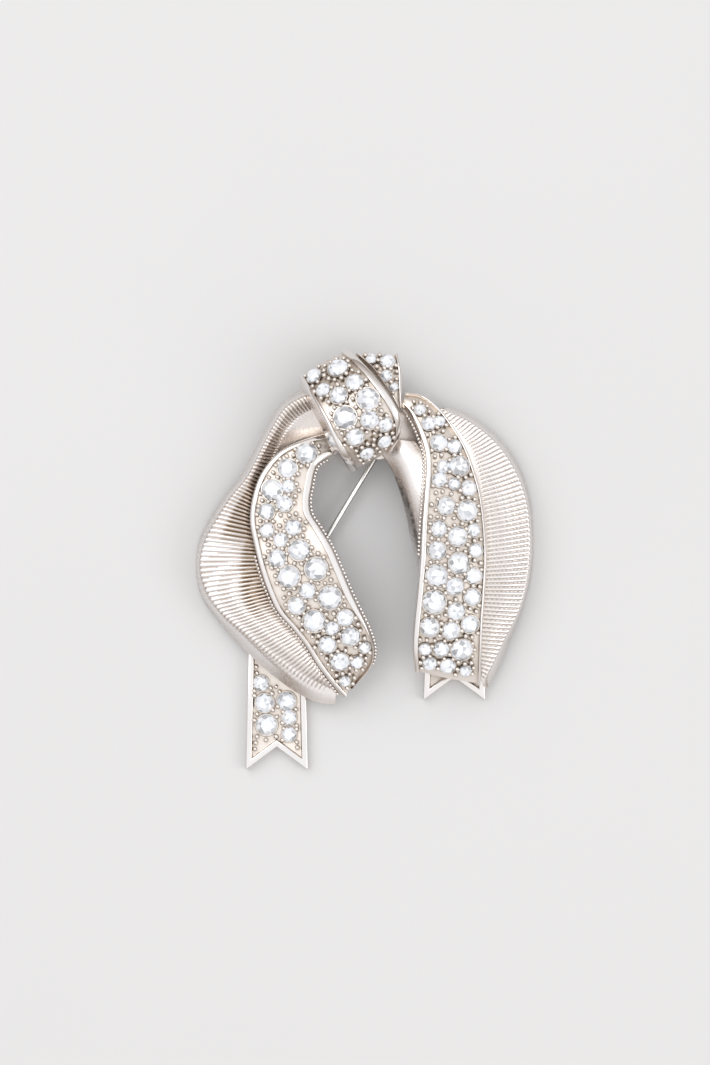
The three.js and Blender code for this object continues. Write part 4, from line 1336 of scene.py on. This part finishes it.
class BROOCH_OT_loops(Operator):
    """Make the two ribbed loops"""

    bl_idname = "brooch.loops"
    bl_label = "Ribbed loops"

    def execute(self, context):
        sizes = settings()[0]
        pitch = sizes.rib_pitch / MM
        height = sizes.rib_height / MM

        def left_bow(along):
            return -0.35 + 0.85 * ramp_up(along, 0.1, 0.5)

        def right_bow(along):
            return 0.4 * math.sin(math.pi * along)

        loops = [
            ("left", Loop(LEFT_LOOP_ROWS, left_bow, 0.8), LeftPlan(pitch)),
            ("right", Loop(RIGHT_LOOP_ROWS, right_bow, 0.5), RightPlan(pitch)),
        ]
        for side, loop, plan in loops:
            piece = ribbed_loop(f"{side}_ribbed_loop", loop, plan, height)
            finish_piece(piece, "root", "satin_rhodium", f"{side}_loop")
        return {"FINISHED"}


class BROOCH_OT_inner_fold(Operator):
    """Make the smooth inner fold beside the right band"""

    bl_idname = "brooch.inner_fold"
    bl_label = "Inner fold"

    def execute(self, context):
        columns = [column(INNER_FOLD_ROWS, side) for side in range(3)]
        rows, around = 60, 16

        def place(row, step):
            return spline([spline(points, row / rows) for points in columns], step / around)

        piece = plane_grid("inner_fold", rows, around, place)
        thicken(piece, 0.55)
        ease(piece, 0.12, 3, math.degrees(1.0))
        coat(piece, "brushed_rhodium")
        smooth(piece)
        finish_piece(piece, "root", "satin_rhodium", "right_inner_fold")
        return {"FINISHED"}


class BROOCH_OT_tails(Operator):
    """Make the two swallow tails, and the left one's beads"""

    bl_idname = "brooch.tails"
    bl_label = "Swallow tails"

    def execute(self, context):
        sizes = settings()[0]
        for side in ("left", "right"):
            node = f"{side}_tail"
            piece = swallow_tail(f"{side}_swallow_tail", node, sizes)
            finish_piece(piece, "root", "polished_rhodium", node)
        origin = tail_origin("left_tail")
        chance = random.Random(SEED + 2)
        up = Vector((0, 0, 1))
        spots = [(origin + Vector((x, y, -0.1)), up) for x, y in TAIL_BEADS]
        prongs = beads("tail_prongs", spots, sizes.bead / MM, chance)
        finish_piece(prongs, "root", "polished_rhodium")
        return {"FINISHED"}


class BROOCH_OT_pin(Operator):
    """Make the pin's wire with its ground point, its knuckle and its rivet"""

    bl_idname = "brooch.pin"
    bl_label = "Pin"

    def execute(self, context):
        sides = settings()[0].pin_sides
        joint = next(entry for entry in frame["joints"] if entry["name"] == "pin_hinge")
        axis = Vector(joint["axis"])
        origin = Vector(joint["pos_m"]) / MM
        along = axis.cross(Vector((0, 0, 1)))
        across = Vector((0, 0, 1)).cross(along)
        wire = Matrix((across, Vector((0, 0, -1)), along)).transposed().to_4x4()
        if wire.determinant() < 0:
            wire = Matrix((across, Vector((0, 0, 1)), along)).transposed().to_4x4()
        wire.translation = origin
        end, radius = PIN_END, PIN_RADIUS
        profile = [(radius, 1.22), (radius, 9.0), (radius, 16.0), (radius, end - 7)]
        profile += [(0.37, end - 5), (0.3, end - 3), (0.18, end - 1.2), (0.06, end - 0.15)]
        profile += [(0.01, end)]
        stem = turned("pin_wire", profile, sides, wire)
        coat(stem, "bright_steel")
        finish_piece(stem, "pin", "pin_steel", "pin_stem")
        for name, node, body in (
            ("pin_knuckle_eased", "pin_knuckle", "pin"),
            ("hinge_rivet_eased", "hinge_rivet", "root"),
            ("catch_lever_eased", "catch_lever", "catch_lever"),
        ):
            piece = refined_copy(name, node, 0.06)
            coat(piece, "bright_steel")
            finish_piece(piece, body, "pin_steel", node)
        return {"FINISHED"}


class BROOCH_OT_back(Operator):
    """Ease the edges of the hinge bracket, the catch, the plate and the posts behind"""

    bl_idname = "brooch.back"
    bl_label = "Back"

    def execute(self, context):
        nodes = ["pin_joint", "catch_housing", "catch_plate", "knot_plate"]
        nodes += sorted(node for node in frame["nodes"] if node.endswith("_post"))
        for node in nodes:
            piece = refined_copy(f"{node}_eased", node, 0.08)
            coat(piece, "cast_back")
            finish_piece(piece, "root", "polished_rhodium", node)
        return {"FINISHED"}


# The room's colour from the horizon, at 0, up to overhead, at 1.
ROOM = [
    (0.0, (0.34, 0.28, 0.24)), (0.2, (0.50, 0.44, 0.40)), (0.42, (0.78, 0.74, 0.72)),
    (0.66, (1.02, 1.01, 1.01)), (1.0, (1.12, 1.13, 1.15)),
]


class BROOCH_OT_stage(Operator):
    """Set up the floor, the lights and the camera"""

    bl_idname = "brooch.stage"
    bl_label = "Stage"

    def execute(self, context):
        _, colours, stage = settings()
        deselect()
        bpy.ops.mesh.primitive_plane_add(size=3.0, location=(0, 0, 0))
        floor = named("floor")
        plain_surface("pale_floor", colours.floor)
        coat(floor, "pale_floor")
        lights = [
            ("key", (-0.30, 0.35, 0.70), 0.6, stage.key_power),
            ("fill", (0.55, -0.20, 0.50), 0.4, stage.fill_power),
        ]
        for name, place, size, power in lights:
            bpy.ops.object.light_add(type="AREA", location=place)
            light = bpy.context.object
            light.name = f"{name}_light"
            light.data.shape = "SQUARE"
            light.data.size = size
            light.data.energy = power
            light.rotation_euler = (-Vector(place)).to_track_quat("-Z", "Y").to_euler()
        world = bpy.data.worlds.new("pale_room")
        bpy.context.scene.world = world
        world.use_nodes = True
        tree = world.node_tree
        direction = tree.nodes.new("ShaderNodeTexCoord")
        parts = tree.nodes.new("ShaderNodeSeparateXYZ")
        shade = tree.nodes.new("ShaderNodeValToRGB")
        tree.links.new(direction.outputs["Generated"], parts.inputs["Vector"])
        tree.links.new(parts.outputs["Z"], shade.inputs["Fac"])
        while len(shade.color_ramp.elements) < len(ROOM):
            shade.color_ramp.elements.new(0.5)
        for element, (height, colour) in zip(shade.color_ramp.elements, ROOM):
            element.position = height
            element.color = (*colour, 1)
        room = tree.nodes["Background"]
        tree.links.new(shade.outputs["Color"], room.inputs["Color"])
        room.inputs["Strength"].default_value = stage.sky
        centre = (-1.45 * MM, 3.99 * MM)
        bpy.ops.object.camera_add(location=(*centre, stage.height), rotation=(0, 0, 0))
        camera = bpy.context.object
        camera.data.lens = stage.lens
        camera.data.sensor_width = 36
        camera.data.clip_start = 0.01
        bpy.context.scene.camera = camera
        bpy.context.scene.view_settings.view_transform = "Standard"
        return {"FINISHED"}


class BROOCH_PT_panel(Panel):
    """The brooch's steps, in the order in which they are made"""

    bl_idname = "BROOCH_PT_panel"
    bl_label = "Ribbon-bow brooch"
    bl_space_type = "VIEW_3D"
    bl_region_type = "UI"
    bl_category = "Brooch"

    def draw(self, context):
        layout = self.layout
        for group in settings():
            box = layout.box()
            for key in group.__annotations__:
                box.prop(group, key)
        for step in STEPS:
            layout.operator(step.bl_idname)


STEPS = (
    BROOCH_OT_stage, BROOCH_OT_finishes, BROOCH_OT_ribbons, BROOCH_OT_milgrain, BROOCH_OT_stones,
    BROOCH_OT_prongs, BROOCH_OT_loops, BROOCH_OT_inner_fold, BROOCH_OT_tails, BROOCH_OT_pin,
    BROOCH_OT_back,
)
CLASSES = (BroochSizes, BroochColours, BroochStage, *STEPS, BROOCH_PT_panel)


def register():
    for kind in CLASSES:
        bpy.utils.register_class(kind)
    bpy.types.Scene.brooch_sizes = PointerProperty(type=BroochSizes)
    bpy.types.Scene.brooch_colours = PointerProperty(type=BroochColours)
    bpy.types.Scene.brooch_stage = PointerProperty(type=BroochStage)


def unregister():
    del bpy.types.Scene.brooch_stage
    del bpy.types.Scene.brooch_colours
    del bpy.types.Scene.brooch_sizes
    for kind in reversed(CLASSES):
        bpy.utils.unregister_class(kind)


def main():
    register()
    for step in STEPS:
        group, name = step.bl_idname.split(".")
        getattr(getattr(bpy.ops, group), name)()


if __name__ == "__main__":
    main()
